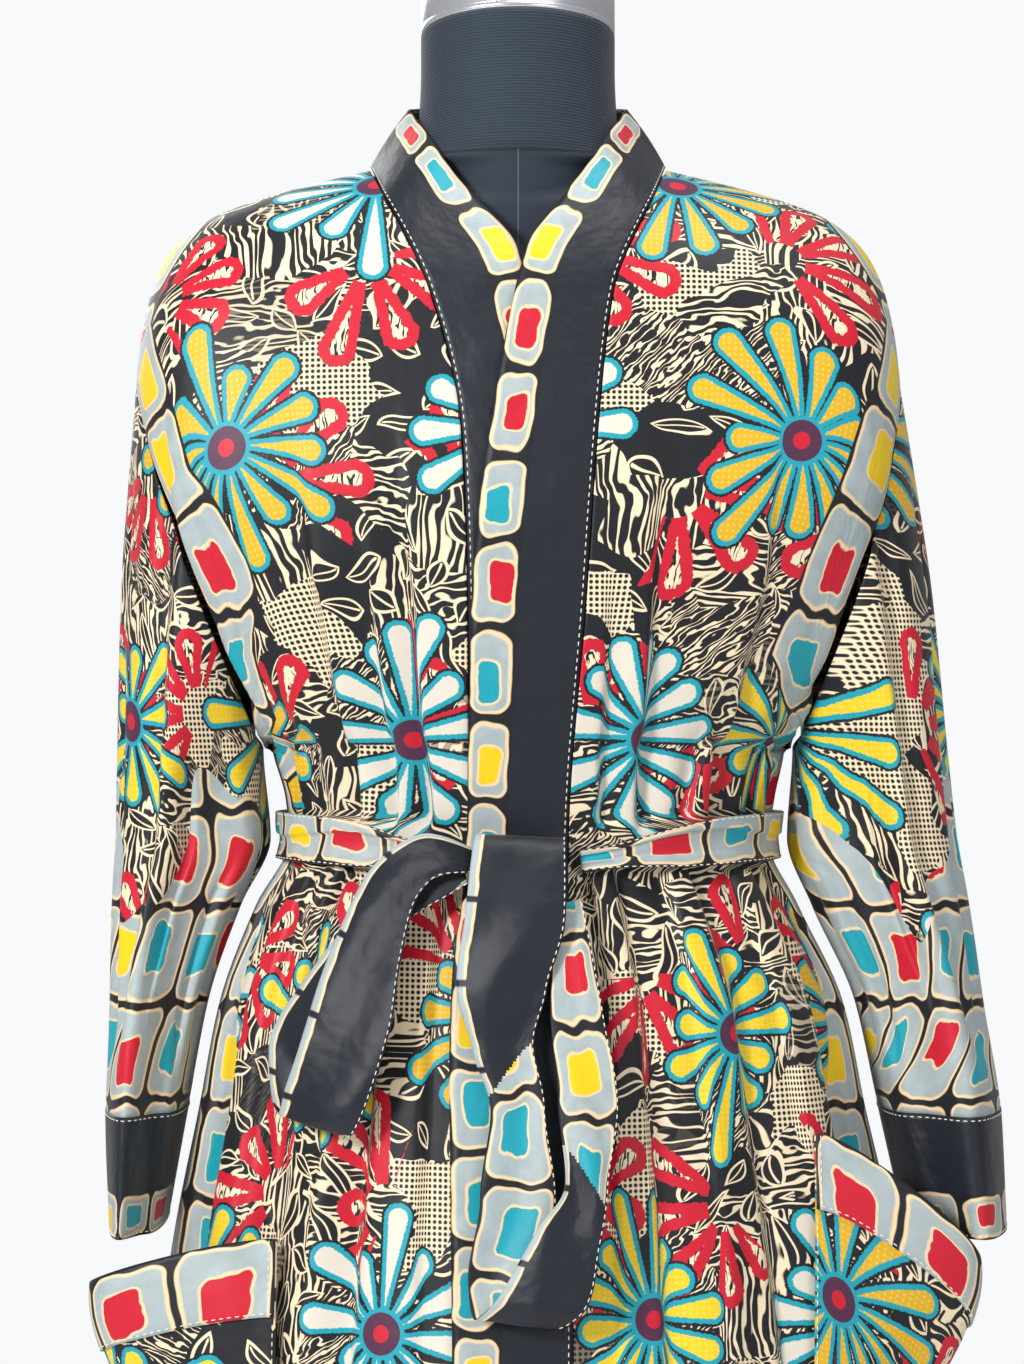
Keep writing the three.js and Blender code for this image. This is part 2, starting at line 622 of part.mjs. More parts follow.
// A level ring of the form, kept inside the robe but never inside the neck's column
function formRing(z, width, front, back) {
  const tilted = Math.tan(degrees(neckTilt)) * smooth((z - 1465) / 50);
  return formTurns.map((turn) => {
    const x = width * Math.cos(turn);
    const ahead = Math.sin(turn) < 0;
    let y = (ahead ? front : back) * Math.abs(Math.sin(turn));
    if (z > 1250 && z < neckZ) {
      const robe = bodyPoint(x < 0 ? "right" : "left", ahead ? "front" : "back", Math.abs(x), z + formDrop);
      const column = 58 * Math.sqrt(Math.max(0, 1 - (x / 60) ** 2));
      y = Math.min(y, Math.max(Math.abs(robe.y) - formInset, column, 0.5));
    }
    return new THREE.Vector3(x, ahead ? -y : y, z - (ahead ? -y : y) * tilted);
  });
}

function formTorso() {
  const edge = formSections[0];
  const rings = [formRing(torsoBottomZ, edge.width - 5, edge.front - 5, edge.back - 5)];
  for (const z of formHeights) {
    rings.push(formRing(z, ...["width", "front", "back"].map((column) => read(formSections, "z", column, z))));
  }
  for (const z of [1402, 1410, 1418, 1426, 1434]) {
    const share = (z - 1392) / (1440 - 1392);
    rings.push(formRing(z, Math.min(formShoulder(z) - 4, 184), mix(60, 58, share), mix(62, 60, share)));
  }
  for (const s of neckSections) rings.push(formRing(s.z, s.width, s.front, s.back));
  return loft(rings);
}

// The polished cap on the neck, with a low dome and a knob
function neckCap() {
  const profile = [
    [0, 0], [neckRadius - 2, 0], [neckRadius, 1.5], [neckRadius, capHeight - 8], [neckRadius - 3, capHeight - 2],
    [neckRadius - 12, capHeight + 3], [28, capHeight + 9], [9, capHeight + 12], [7, capHeight + 17],
    [12, capHeight + 22], [14, capHeight + 28], [10, capHeight + 34], [0, capHeight + 37],
  ].map(([r, z]) => new THREE.Vector2(r, z));
  const geometry = new THREE.LatheGeometry(profile, 26);
  geometry.rotateX(Math.PI / 2);
  geometry.rotateX(degrees(-neckTilt));
  geometry.translate(0, 0, neckTopZ + fit);
  return geometry;
}

function standBase() {
  const hub = poleRadius + 14;
  const profile = [
    [0, 0], [baseRadius - 3, 0], [baseRadius, 3], [baseRadius, baseHeight - 8], [baseRadius - 8, baseHeight],
    [hub + 6, baseHeight + 6], [hub, baseHeight + 12], [hub - 2, hubTopZ - 2], [hub - 4, hubTopZ], [0, hubTopZ],
  ].map(([r, z]) => new THREE.Vector2(r, z));
  return new THREE.LatheGeometry(profile, 32).rotateX(Math.PI / 2);
}

function standPole() {
  const length = torsoBottomZ - hubTopZ - 2 * fit;
  const geometry = new THREE.CylinderGeometry(poleRadius, poleRadius, length, 20).rotateX(Math.PI / 2);
  return geometry.translate(0, 0, hubTopZ + fit + length / 2);
}

function buildForm(group, add) {
  add(group, "form_torso", formTorso(), "jersey");
  add(group, "form_cap", neckCap(), "chrome");
  add(group, "stand_pole", standPole(), "chrome");
  add(group, "stand_base", standBase(), "chrome");
}

function buildSash(group, add) {
  add(group, "sash", sash(), "tiles");
  add(group, "sash_knot", knot(), "band");
  for (const side of ["right", "left"]) add(group, "bow_loop_" + side, bowLoop(side), "band");
}

function buildRobe(group, add) {
  add(group, "back", backPanel(), "print");
  for (const side of ["right", "left"]) {
    add(group, "front_" + side, frontPanel(side), "print");
    add(group, "sleeve_" + side, sleeve(side), "print");
    add(group, "cuff_" + side, cuff(side), "band");
    add(group, "neckband_" + side, frontBand(side), "band");
  }
  add(group, "neckband_back", backBand(), "band");
  for (const side of ["right", "left"]) buildPocket(group, add, side);
}

// Colours of the stand-in materials
const finishes = {
  print: { color: 0x8a7a50, roughness: 0.55, metalness: 0 },
  band: { color: 0x1b1c24, roughness: 0.45, metalness: 0 },
  tiles: { color: 0x8f9ea3, roughness: 0.5, metalness: 0 },
  jersey: { color: 0x23252e, roughness: 0.85, metalness: 0 },
  chrome: { color: 0xc8c9cc, roughness: 0.15, metalness: 1 },
};

function build() {
  const group = new THREE.Group();
  const materials = {};
  for (const [name, finish] of Object.entries(finishes)) materials[name] = new THREE.MeshStandardMaterial(finish);
  const add = (parent, name, geometry, finish) => {
    const mesh = new THREE.Mesh(geometry, materials[finish]);
    mesh.name = name;
    parent.add(mesh);
  };
  buildRobe(group, add);
  buildSash(group, add);
  buildForm(group, add);
  return group;
}

export default build();
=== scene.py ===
# A long kimono robe with a tied sash on a dress form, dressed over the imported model.
# Sizes are in millimetres in the tables and turn into metres when the meshes are made.
import math

import bpy
import numpy as np
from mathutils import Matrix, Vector


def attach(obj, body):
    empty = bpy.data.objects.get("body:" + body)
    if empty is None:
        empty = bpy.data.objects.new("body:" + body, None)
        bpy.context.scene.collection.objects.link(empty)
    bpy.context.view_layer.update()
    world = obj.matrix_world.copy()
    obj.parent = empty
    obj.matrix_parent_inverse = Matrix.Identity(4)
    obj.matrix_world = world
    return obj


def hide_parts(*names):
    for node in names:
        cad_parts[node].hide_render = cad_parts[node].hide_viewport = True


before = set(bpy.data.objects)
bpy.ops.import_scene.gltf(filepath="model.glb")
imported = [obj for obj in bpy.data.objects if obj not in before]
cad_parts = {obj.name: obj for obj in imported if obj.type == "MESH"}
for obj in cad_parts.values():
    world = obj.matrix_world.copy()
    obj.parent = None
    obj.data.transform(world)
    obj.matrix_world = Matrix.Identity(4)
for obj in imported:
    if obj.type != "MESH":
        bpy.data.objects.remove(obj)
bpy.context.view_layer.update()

# Driving sizes, as in the part's own source
CLOTH = 1.4
SEAM_GAP = 0.7
HEM_Z = 190
UNDERARM_Z = 1100
ARMHOLE_TOP_Z = 1315
BELT_Z = 1046
BELT_HEIGHT = 27
BELT_WALL = 2.2
CUFF_TOP_Z = 888
CUFF_BOTTOM_Z = 818
NECK_HALF_WIDTH = 88
NECK_Z = 1441
SHOULDER_ROUND = 75
SECTION_POWER = 2.3
BAND_LIFT = 3.6
BAND_WIDTH = 63
NECK_RADIUS = 57.5
NECK_TOP_Z = 1521
NECK_TILT = 8
CAP_HEIGHT = 34
NECK_GROOVE_Z = 1447.0
TORSO_BOTTOM_Z = 815
POLE_RADIUS = 16
BASE_RADIUS = 185
BASE_HEIGHT = 22
HUB_TOP_Z = 58
SIDES = {"right": -1, "left": 1}
FACES = {"front": -1, "back": 1}


def table(columns, rows):
    """A table as one array for each named column."""
    return {name: np.array([row[i] for row in rows], float) for i, name in enumerate(columns.split())}


BODY = table("z right left front back", [
    (190, 238, 246, 176, 172), (340, 232, 243, 170, 166), (540, 224, 240, 160, 156),
    (739, 214, 234, 150, 146), (818, 203, 222, 143, 139), (888, 189, 206, 134, 131),
    (950, 177, 193, 125, 121), (1006, 156, 167, 109, 103), (1046, 136, 149, 96, 88),
    (1069, 138, 152, 100, 90), (1100, 146, 158, 105, 93), (1160, 150, 160, 112, 95),
    (1240, 150, 160, 114, 97), (1320, 150, 160, 101, 96), (1400, 150, 160, 82, 84),
    (1441, 150, 160, 70, 74)])
RIDGE = table("x z", [
    (0, 1452), (60, 1447), (88, 1441), (140, 1428), (175, 1416), (192, 1406), (205, 1393), (215, 1374),
    (222, 1346), (226, 1315)])
SLEEVE = table("z right_out right_in left_out left_in depth", [
    (818, 240, 209, 288, 230, 90), (888, 243, 196, 285, 214, 88), (950, 241, 184, 275, 200, 84),
    (1006, 240, 164, 267, 174, 80), (1046, 239, 146, 261, 159, 77), (1100, 237, 150, 254, 162, 77),
    (1207, 234, 150, 243, 160, 72), (1315, 226, 150, 226, 160, 60)])
SEAMS = table("z right left lapped under", [
    (190, 26, 34, -33, 28), (739, 27, 31, -36, 24), (950, 28, 31, -38, 24), (1040, 28, 29, -29, 24),
    (1186, 29, 39, -26, 29), (1286, 33, 46, -15, 20), (1362, 51, 55, 1, 4), (1403, 69, 71, 20, -17),
    (1422, 79, 80, 33, -30), (1441, 88, 88, 50, -47)])
# The band behind the neck: x, y and z of its seam, then of its free edge
COLLAR = [
    (0, 71.2, 1441.6, 0, 66.5, 1488), (52, 57.7, 1442.6, 45, 49, 1486), (87.6, 0, 1443.5, 64.6, 0, 1478)]
# The front bands next to it: height of the seam, then x, y and z of the free edge
COLLAR_FRONT = [(1422, 49, -44, 1452), (1403, 31, -64, 1425)]
# Wide folds: turn in degrees, width, depth, lowest and highest point, lean
BODY_FOLDS = [
    (-68, 8, 9, 190, 1010, 4), (-46, 6, 8, 190, 1030, -3), (-27, 6, 7, 190, 1035, 2),
    (20, 5, 8, 190, 1035, -2), (36, 6, 9, 190, 1025, 3), (66, 7, 8, 190, 1010, -4),
    (112, 9, 9, 190, 1010, 4), (138, 8, 10, 190, 1030, -3), (164, 8, 8, 190, 1030, 2),
    (-166, 8, 9, 190, 1025, 3), (-141, 9, 10, 190, 1025, -2), (-113, 8, 8, 190, 1010, -4),
    (-52, 7, 6, 1062, 1250, 5), (-33, 6, 5, 1062, 1210, 2), (33, 6, 5, 1062, 1220, -3),
    (54, 7, 6, 1062, 1260, -5), (130, 9, 6, 1062, 1240, -6), (160, 8, 5, 1062, 1200, -2),
    (-158, 8, 5, 1062, 1210, 3), (-128, 9, 6, 1062, 1250, 6)]
# Those of a sleeve: turn, width and depth
SLEEVE_FOLDS = [(112, 30, 24), (38, 15, 4), (248, 28, 16)]
FORM = table("z width front back", [
    (815, 158, 110, 108), (880, 160, 110, 110), (950, 150, 100, 100), (1006, 128, 84, 82),
    (1046, 116, 79, 72), (1100, 121, 86, 76), (1180, 137, 98, 84), (1240, 144, 101, 88),
    (1310, 150, 88, 86), (1360, 166, 72, 76), (1392, 184, 60, 62)])
FORM_NECK = table("z width front back", [
    (1443, 74, 58, 60), (1452, 63, 59, 60), (1475, 58.5, 58.5, 58.5), (1500, 57.5, 57.5, 57.5),
    (1521, 57.5, 57.5, 57.5)])
POCKETS = {
    "right": dict(inner=137, mouth_in=823, mouth_out=790, foot_in=640, foot_out=628, gape=50),
    "left": dict(inner=168, mouth_in=880, mouth_out=796, foot_in=690, foot_out=640, gape=52)}
POCKET_REACH = 0.96
POCKET_LIFT = 4
POCKET_BAND = 43
POCKET_WIDTH = 150.0
LOOPS = {
    "right": table("t x z lift half tilt", [
        (0, -23, 1036, 11.7, 6, -82), (0.08, -46, 1041, 25, 12, -72), (0.17, -68, 1026, 25, 15, -42),
        (0.28, -83, 990, 24, 19, -24), (0.4, -94, 948, 25, 23, -20), (0.52, -108, 905, 24, 23, -16),
        (0.58, -115, 889, 17, 21, -14), (0.63, -120, 894, 9, 20, -14), (0.72, -124, 925, 6, 19, -18),
        (0.82, -104, 968, 7, 15, -26), (0.92, -72, 1008, 12, 10, -45), (1, -30, 1029, 15, 5, -70)]),
    "left": table("t x z lift half tilt", [
        (0, 2, 1041, 20.8, 25, -3), (0.1, -2, 1003, 23, 28, -3), (0.19, -9, 964, 17, 25, 2),
        (0.26, -8, 934, 11, 17, 8), (0.34, 0, 899, 10, 15, 4), (0.42, 0, 851, 10, 21, 0),
        (0.5, -8, 806, 11, 20, -4), (0.55, -1, 782, 15, 23, -6), (0.59, 13, 794, 23, 24, -10),
        (0.67, 28, 831, 24, 18, -14), (0.73, 38, 858, 22, 12, -10), (0.82, 39, 903, 18, 17, -4),
        (0.91, 33, 950, 15, 15, 4), (1, 28, 1014, 13, 8, 8)])}
LOOP_WRAP_END = 0.1
LOOP_WRAP = table("t z lift", [
    (0, 1049.5, 7), (0.012, 1049.5, 12), (0.026, 1046, 18.5), (0.042, 1038, 22), (0.06, 1027, 23),
    (0.08, 1014, 23.2), (0.1, 1003, 23)])


def smooth(t):
    t = np.clip(t, 0, 1)
    return t * t * (3 - 2 * t)


def mix(a, b, t):
    return a + (b - a) * t


def wrapped(turn):
    """The same turn, from -180 to 180 degrees."""
    return (turn + 540) % 360 - 180


def bell(off, width):
    return np.exp(-((off / width) ** 2))


def read(rows, key, column, at):
    """One column at a key, with a smooth monotone curve between the rows."""
    k, v = rows[key], rows[column]
    at = np.clip(np.asarray(at, float), k[0], k[-1])
    slope = np.diff(v) / np.diff(k)
    tangent = np.zeros(len(k))
    tangent[0], tangent[-1] = slope[0], slope[-1]
    before, after = slope[:-1], slope[1:]
    total = np.where(before + after == 0, 1, before + after)
    tangent[1:-1] = np.where(before * after <= 0, 0, 2 * before * after / total)
    i = np.clip(np.searchsorted(k, at, side="left") - 1, 0, len(k) - 2)
    h = k[i + 1] - k[i]
    t = (at - k[i]) / h
    keep = (1 + 2 * t) * (1 - t) ** 2 * v[i] + t * t * (3 - 2 * t) * v[i + 1]
    return keep + h * t * (1 - t) ** 2 * tangent[i] - h * t * t * (1 - t) * tangent[i + 1]


def ridge_at(x):
    return read(RIDGE, "x", "z", np.abs(x))


def sleeve_point(side, turn, z, extra=0):
    outer = read(SLEEVE, "z", side + "_out", z)
    inner = read(SLEEVE, "z", side + "_in", z)
    depth = read(SLEEVE, "z", "depth", z)
    grown = smooth((1180 - z) / 120)
    pull = np.zeros_like(np.asarray(turn + z, float))
    for at, width, deep in SLEEVE_FOLDS:
        pull = pull + deep * grown * bell(wrapped(turn - at), width)
    angle = np.radians(turn)
    x = (outer + inner) / 2 + ((outer - inner) / 2 + extra) * np.cos(angle)
    y = -(depth - pull + extra) * np.sin(angle)
    return np.stack([SIDES[side] * x, y, z + 0 * x], -1)


def armhole(side, share, face):
    turn = np.degrees(np.arccos(1 - 2 * np.clip(share, 0, 1)))
    point = sleeve_point(side, turn, mix(ARMHOLE_TOP_Z, UNDERARM_Z, share))
    return np.abs(point[..., 0]), np.abs(point[..., 1]) * FACES[face]


def fold_depth(turn, z, folds):
    pull = 0
    for at, width, depth, low, high, lean in folds:
        leaning = lean * (z - (low + high) / 2) / (high - low)
        fade = (high - low) * 0.3
        into = 1 if low == HEM_Z else smooth((z - low) / fade)
        pull = pull + depth * into * smooth((high - z) / fade) * bell(wrapped(turn - at - leaning), width)
    return pull


def pleats(turn, z, outward):
    """How far sharp folds pull the cloth in, and how much cloth they hide between the middle and here."""
    pull = hidden = 0
    for at, width, depth, low, high, lean in CREASES:
        leaning = lean * (z - BELT_Z) / (high - low)
        off = wrapped(turn - at - leaning)
        near, far = (high - z, z - low) if low < BELT_Z - 30 else (z - low, high - z)
        strength = smooth((near + 6) / 14) * smooth(far / ((high - low) * 0.9))
        sharp = np.where(off * np.sign(lean) > 0, max(width * 0.3, 1.1), width)
        pull = pull + depth * strength * bell(off, sharp)
        if at * outward >= 0:
            passed = smooth((off * outward - np.sign(lean) * outward * 0.8) / 2.6 + 0.5)
            hidden = hidden + TUCK * depth * strength * passed
    return pull, hidden


def row_height(side, share, x):
    reach = armhole(side, share, "front")[0]
    top = np.minimum(NECK_Z, ridge_at(x * armhole(side, 0.0, "front")[0] / reach))
    return mix(top, UNDERARM_Z, share)


def armhole_share(side, x, z):
    above, below = np.zeros_like(x + z), np.ones_like(x + z)
    for _ in range(20):
        share = (above + below) / 2
        higher = row_height(side, share, x) > z
        above = np.where(higher, share, above)
        below = np.where(higher, below, share)
    return np.where(above < 1e-5, 0, (above + below) / 2)


def neck_back_y(x):
    return 72 * np.sqrt(np.maximum(0, 1 - (x / NECK_HALF_WIDTH) ** 2))


def section(side, face, x, z):
    """The body's smooth surface: how far across and how far round, its depth and its turn in degrees."""
    top = ridge_at(x)
    upper = z > UNDERARM_Z
    arm_x, arm_y = armhole(side, armhole_share(side, x, z), face)
    edge_x = np.where(upper, arm_x, read(BODY, "z", side, z))
    edge_y = np.where(upper, arm_y, 0)
    deep = read(BODY, "z", face, z)
    across = np.clip(x / edge_x, 0, 1)
    curve = (1 - across ** SECTION_POWER) ** (1 / SECTION_POWER)
    start = 0
    if face == "back":
        start = np.arcsin(np.clip(neck_back_y(x) / (deep * np.maximum(curve, 0.2)), 0, 1))
    turned = np.arccos(1 - np.clip((top - z) / SHOULDER_ROUND, 0, 1))
    raised = np.where(upper, np.sin(start + (math.pi / 2 - start) * turned / (math.pi / 2)), 1)
    y = edge_y + (FACES[face] * deep * raised - edge_y) * curve
    quarter = np.degrees(np.arctan2(across, np.abs(y) / deep + 1e-9))
    return across, curve, y, SIDES[side] * (quarter if face == "front" else 180 - quarter)


def body_point(side, face, x, z, lift=0.0, folded=True, creased=False):
    """The body's surface at a distance from the centre and a height, moved out by lift."""
    x, z = np.broadcast_arrays(np.asarray(x, float), np.asarray(z, float))
    across, curve, y, turn = section(side, face, x, z)
    out = lift - (fold_depth(turn, z, BODY_FOLDS) if folded else 0)
    if creased:
        out = out - pleats(turn, z, SIDES[side])[0]
    length = np.hypot(across, curve)
    length = np.where(length == 0, 1, length)
    px = SIDES[side] * (x + out * across / length)
    return np.stack([px, y + FACES[face] * out * curve / length, z], -1)


# Meshes from grids of points


def unit(v):
    return v / np.maximum(np.linalg.norm(v, axis=-1, keepdims=True), 1e-9)


def run_along(path):
    """How far each point of a path is from its first one, along the path."""
    return np.concatenate([[0], np.cumsum(np.linalg.norm(np.diff(path, axis=0), axis=1))])


def beside(lines, edge, share, step=1):
    """A line of points just inside the first (0) or the last (-1) of some lines."""
    return mix(lines[edge], lines[edge + (step if edge == 0 else -step)], share)


def columns_of(grid):
    return np.swapaxes(grid, 0, 1)


def grid_normals(grid, round_way=False):
    """Normals of a grid whose rows run down and whose columns run to the left as seen from outside."""
    along = np.gradient(grid, axis=0)
    if round_way:
        across = np.roll(grid, -1, axis=1) - np.roll(grid, 1, axis=1)
    else:
        across = np.gradient(grid, axis=1)
    return unit(np.cross(across, along))


def grid_faces(rows, columns, layer, turned):
    """Corners of every quad of one layer as (row, column, layer)."""
    i, j = np.meshgrid(np.arange(rows - 1), np.arange(columns), indexing="ij")
    i, j = i.ravel(), j.ravel()
    corners = [(i, j), (i, j + 1), (i + 1, j + 1), (i + 1, j)]
    if turned:
        corners = corners[::-1]
    return np.stack([np.stack([a, b, np.full_like(a, layer)], -1) for a, b in corners], 1)


def rim_faces(a, b):
    """Quads that join a line of outer corners to the same line inside."""
    outer = np.stack([a, b, np.zeros_like(a)], -1)
    inner = np.stack([a, b, np.ones_like(a)], -1)
    return np.stack([outer[1:], outer[:-1], inner[:-1], inner[1:]], 1)


def made(name, points, faces, materials, is_smooth=True):
    """An object in the scene, of points in millimetres."""
    mesh = bpy.data.meshes.new(name)
    mesh.from_pydata(points * 0.001, [], faces)
    for material in materials:
        mesh.materials.append(material)
    mesh.polygons.foreach_set("use_smooth", np.full(len(faces), is_smooth))
    obj = bpy.data.objects.new(name, mesh)
    bpy.context.scene.collection.objects.link(obj)
    return obj


def shell(name, grid, thickness, uv, materials, round_way=False, paint=None):
    """A closed thin wall of cloth behind a grid of outer points, with its flat-cloth coordinates."""
    rows, columns = grid.shape[:2]
    normals = grid_normals(grid, round_way)
    points = np.concatenate([grid.reshape(-1, 3), (grid - normals * thickness).reshape(-1, 3)])
    spans = columns if round_way else columns - 1
    top, side = np.arange(spans + 1), np.arange(rows)
    parts = [grid_faces(rows, spans, 0, False), grid_faces(rows, spans, 1, True)]
    parts.append(rim_faces(np.zeros_like(top), top))
    parts.append(rim_faces(np.full_like(top, rows - 1), top[::-1]))
    if not round_way:
        parts.append(rim_faces(side[::-1], np.zeros_like(side)))
        parts.append(rim_faces(side, np.full_like(side, columns - 1)))
    corners = np.concatenate(parts)
    i, j, layer = corners[..., 0], corners[..., 1], corners[..., 2]
    index = layer * rows * columns + i * columns + j % columns
    obj = made(name, points, index.tolist(), materials)
    for uv_name, values in uv.items():
        coordinates = values[i, j].reshape(-1, 2) * 0.001
        obj.data.uv_layers.new(name=uv_name).data.foreach_set("uv", coordinates.ravel())
    if paint is not None:
        obj.data.polygons.foreach_set("material_index", paint(i[:, 0], j[:, 0], layer[:, 2]))
    obj.data.update()
    return obj


def settle(obj, node):
    """The piece takes the place of a solid, whose part is hidden, and rides on the one body."""
    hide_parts(node)
    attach(obj, "root")


# The cloth's shapes

TUCK = 2.4
# Sharp creases: turn, width, depth, lowest and highest point, lean
CREASES = [
    (-83, 5, 7, 420, 1046, 6), (-74, 4, 6, 620, 1034, -4), (-63, 7, 9, -300, 1036, 5),
    (-52, 5, 6.5, 640, 1040, -3), (-43, 6, 8, -100, 1040, -4), (-35, 4, 6, 700, 1038, 2),
    (-27, 5, 7.5, -200, 1036, 3), (-16, 4, 6, 560, 1036, -2), (14.5, 4, 6, 400, 1036, 2),
    (22, 5, 8, -200, 1038, -3), (31, 4, 6.5, 640, 1036, 2), (40, 6, 8.5, -100, 1040, -4),
    (50, 4, 6, 700, 1036, 3), (61, 7, 9, -300, 1038, -5), (72, 4, 6, 600, 1036, 3),
    (82, 5, 7, 400, 1040, -5), (98, 4, 7, 400, 1038, 3), (108, 5, 7.5, -200, 1036, -3),
    (121, 5, 6.5, 600, 1038, 4), (132, 6, 8.5, -200, 1036, -4), (146, 4, 6, 560, 1038, 3),
    (158, 5, 8, -300, 1036, 3), (171, 4, 6, 640, 1036, -1), (-176, 5, 7.5, -100, 1036, -2),
    (-163, 4, 6, 620, 1038, 3), (-151, 6, 8.5, -300, 1036, -3), (-138, 4, 6.5, 560, 1038, -4),
    (-126, 5, 8, -200, 1036, 3), (-112, 4, 6.5, 600, 1036, 4), (-98, 5, 7.5, 300, 1038, -3),
    (-80, 5, 8, 1056, 1250, 9), (-66, 5, 9, 1056, 1340, 12), (-53, 4, 6.5, 1056, 1210, -6),
    (-42, 5, 9.5, 1056, 1330, 8), (-31, 4, 7.5, 1056, 1260, 4), (-22, 3.5, 8, 1056, 1320, 2),
    (19, 4, 7, 1056, 1240, -3), (28, 5, 9.5, 1056, 1320, -6), (38, 4, 6.5, 1056, 1200, 5),
    (47, 5, 9, 1056, 1330, -9), (60, 4, 7.5, 1056, 1230, 8), (73, 5, 8.5, 1056, 1320, -12),
    (104, 5, 7, 1056, 1240, -8), (118, 4, 6, 1056, 1300, 7), (131, 5, 6.5, 1056, 1200, -4),
    (145, 4, 6, 1056, 1290, -5), (160, 5, 6.5, 1056, 1220, 4), (174, 4, 5.5, 1056, 1280, -2),
    (-168, 5, 6.5, 1056, 1210, 3), (-154, 4, 6, 1056, 1290, 4), (-140, 5, 6.5, 1056, 1230, -5),
    (-126, 4, 6, 1056, 1300, 6), (-110, 5, 7, 1056, 1220, 8)]
# Turn, slope, width, depth, highest and lowest point
SLEEVE_CREASES = [
    (62, 0.09, 12, 8, 1300, 900), (30, -0.05, 9, 5.5, 1180, 886), (92, 0.06, 8, 6.5, 1120, 930),
    (12, 0.07, 9, 6, 1290, 960), (300, -0.07, 11, 7.5, 1280, 890), (336, 0.05, 8, 5, 1150, 900),
    (205, 0.06, 10, 6, 1180, 890), (255, -0.05, 11, 7, 1260, 930), (165, 0.04, 9, 5, 1090, 900),
    (128, -0.06, 9, 6, 1060, 890)]


def side_edge(side, face):
    """Points down the side of one panel, along the armhole and the side seam, and one above them."""
    share = np.linspace(0, 1, 100)
    arm_x, arm_y = armhole(side, share, face)
    low = np.linspace(UNDERARM_Z, HEM_Z, 220)[1:]
    above = [[SIDES[side] * arm_x[0], arm_y[0], ARMHOLE_TOP_Z + 80]]
    arm = np.stack([SIDES[side] * arm_x, arm_y, mix(ARMHOLE_TOP_Z, UNDERARM_Z, share)], -1)
    seam = np.stack([SIDES[side] * read(BODY, "z", side, low), 0 * low, low], -1)
    return np.concatenate([above, arm, seam])


def nearest_on(path, points):
    """How far points lie from a path, and how far the nearest place on it is from the path's end."""
    run = run_along(path)
    best = np.full(points.shape[:-1], 1e9)
    left = np.zeros_like(best)
    for k in range(len(path) - 1):
        step = path[k + 1] - path[k]
        share = np.clip(((points - path[k]) @ step) / (step @ step), 0, 1)
        gap = np.linalg.norm(points - path[k] - share[..., None] * step, axis=-1)
        left = np.where(gap < best, run[-1] - mix(run[k], run[k + 1], share), left)
        best = np.minimum(gap, best)
    return best, left


UPPER_ROWS = 66
SLEEVE_ROUND = 330
# Where each printed piece lies in the print, and distances from a side edge that mark other pieces
BACK_PRINT_START = 900
SLEEVE_PRINT_START = 1800
POCKET_PRINT_START = 2600
POCKET_BORDER = 400.0
LEAST_SLEEVE_BORDER = 900.0


def body_grid(side, face, columns, inner_edge):
    """Points of one half of a body panel, from its inner edge to the side, with flat-cloth coordinates."""
    share = np.linspace(0, 1, columns + 1)
    bend = np.sin(share * math.pi / 2)[None, :]
    drop = (np.linspace(0, 1, UPPER_ROWS)[:, None]) ** 2
    z = np.full((UPPER_ROWS, columns + 1), float(NECK_Z))
    for _ in range(8):
        x = mix(inner_edge(z), armhole(side, drop, face)[0], bend)
        z = row_height(side, drop, x)
    low = np.concatenate([np.linspace(1096, 980, 34), np.linspace(975, 190, 84)])[:, None]
    low = low + np.zeros((1, columns + 1))
    low_x = mix(inner_edge(low), read(BODY, "z", side, low), bend)
    x, z = np.concatenate([x, low_x]), np.concatenate([z, low])
    points = body_point(side, face, x, z, creased=True)
    plain = body_point(side, face, x, z, folded=False)
    gap = SEAM_GAP / 2
    points[:UPPER_ROWS, -1, 0] -= SIDES[side] * SEAM_GAP * (1 + 2 * drop[:, 0])
    shut = FACES[face] * points[..., 1] < gap
    sewn = np.zeros_like(shut)
    sewn[:, -1] = True
    sewn[0] = x[0] >= NECK_HALF_WIDTH
    points[..., 1] = np.where(shut & sewn, FACES[face] * gap, points[..., 1])
    run = np.hypot(np.diff(plain[..., 0], axis=1), np.diff(plain[..., 1], axis=1))
    u = np.abs(plain[:, :1, 0]) + np.concatenate([np.zeros((len(x), 1)), np.cumsum(run, 1)], 1)
    hidden = pleats(section(side, face, x, z)[3], z, SIDES[side])[1]
    if face == "back":
        hidden = hidden[:, :1] - hidden
    u = u + hidden
    border, along = nearest_on(side_edge(side, face), plain)
    border = np.stack([border + np.maximum(hidden[:, -1:] - hidden, 0), along + HEM_Z], -1)
    fall = np.hypot(np.diff(plain[..., 1], axis=0), np.diff(plain[..., 2], axis=0))
    v = np.concatenate([np.cumsum(fall[::-1], 0)[::-1], np.zeros((1, columns + 1))]) + HEM_Z
    return points, SIDES[side] * u, v, border


def panel(node, grid, material):
    points, u, v, border = grid
    uv = {"flat": np.stack([u, v], -1), "border": border}
    obj = shell("robe_" + node, points, CLOTH, uv, [material])
    settle(obj, node)
    stitches("hem_stitches_" + node, points[-2], grid_normals(points)[-2])
    return obj


def front_panel(side, material):
    grid = body_grid(side, "front", 168, lambda z: read(SEAMS, "z", side, z))
    if side == "left":
        grid = [a[:, ::-1] for a in grid]
    obj = panel("front_" + side, grid, material)


def back_panel(material):
    right, left = [body_grid(side, "back", 124, lambda z: 0 * z) for side in SIDES]
    grid = [np.concatenate([a[:, ::-1], b[:, 1:]], 1) for a, b in zip(right, left)]
    grid[1] = grid[1] + BACK_PRINT_START
    obj = panel("back", grid, material)


def sleeve_turns(side, count):
    return 180 + np.linspace(0, 360, count, endpoint=False)[None, :] * SIDES[side]


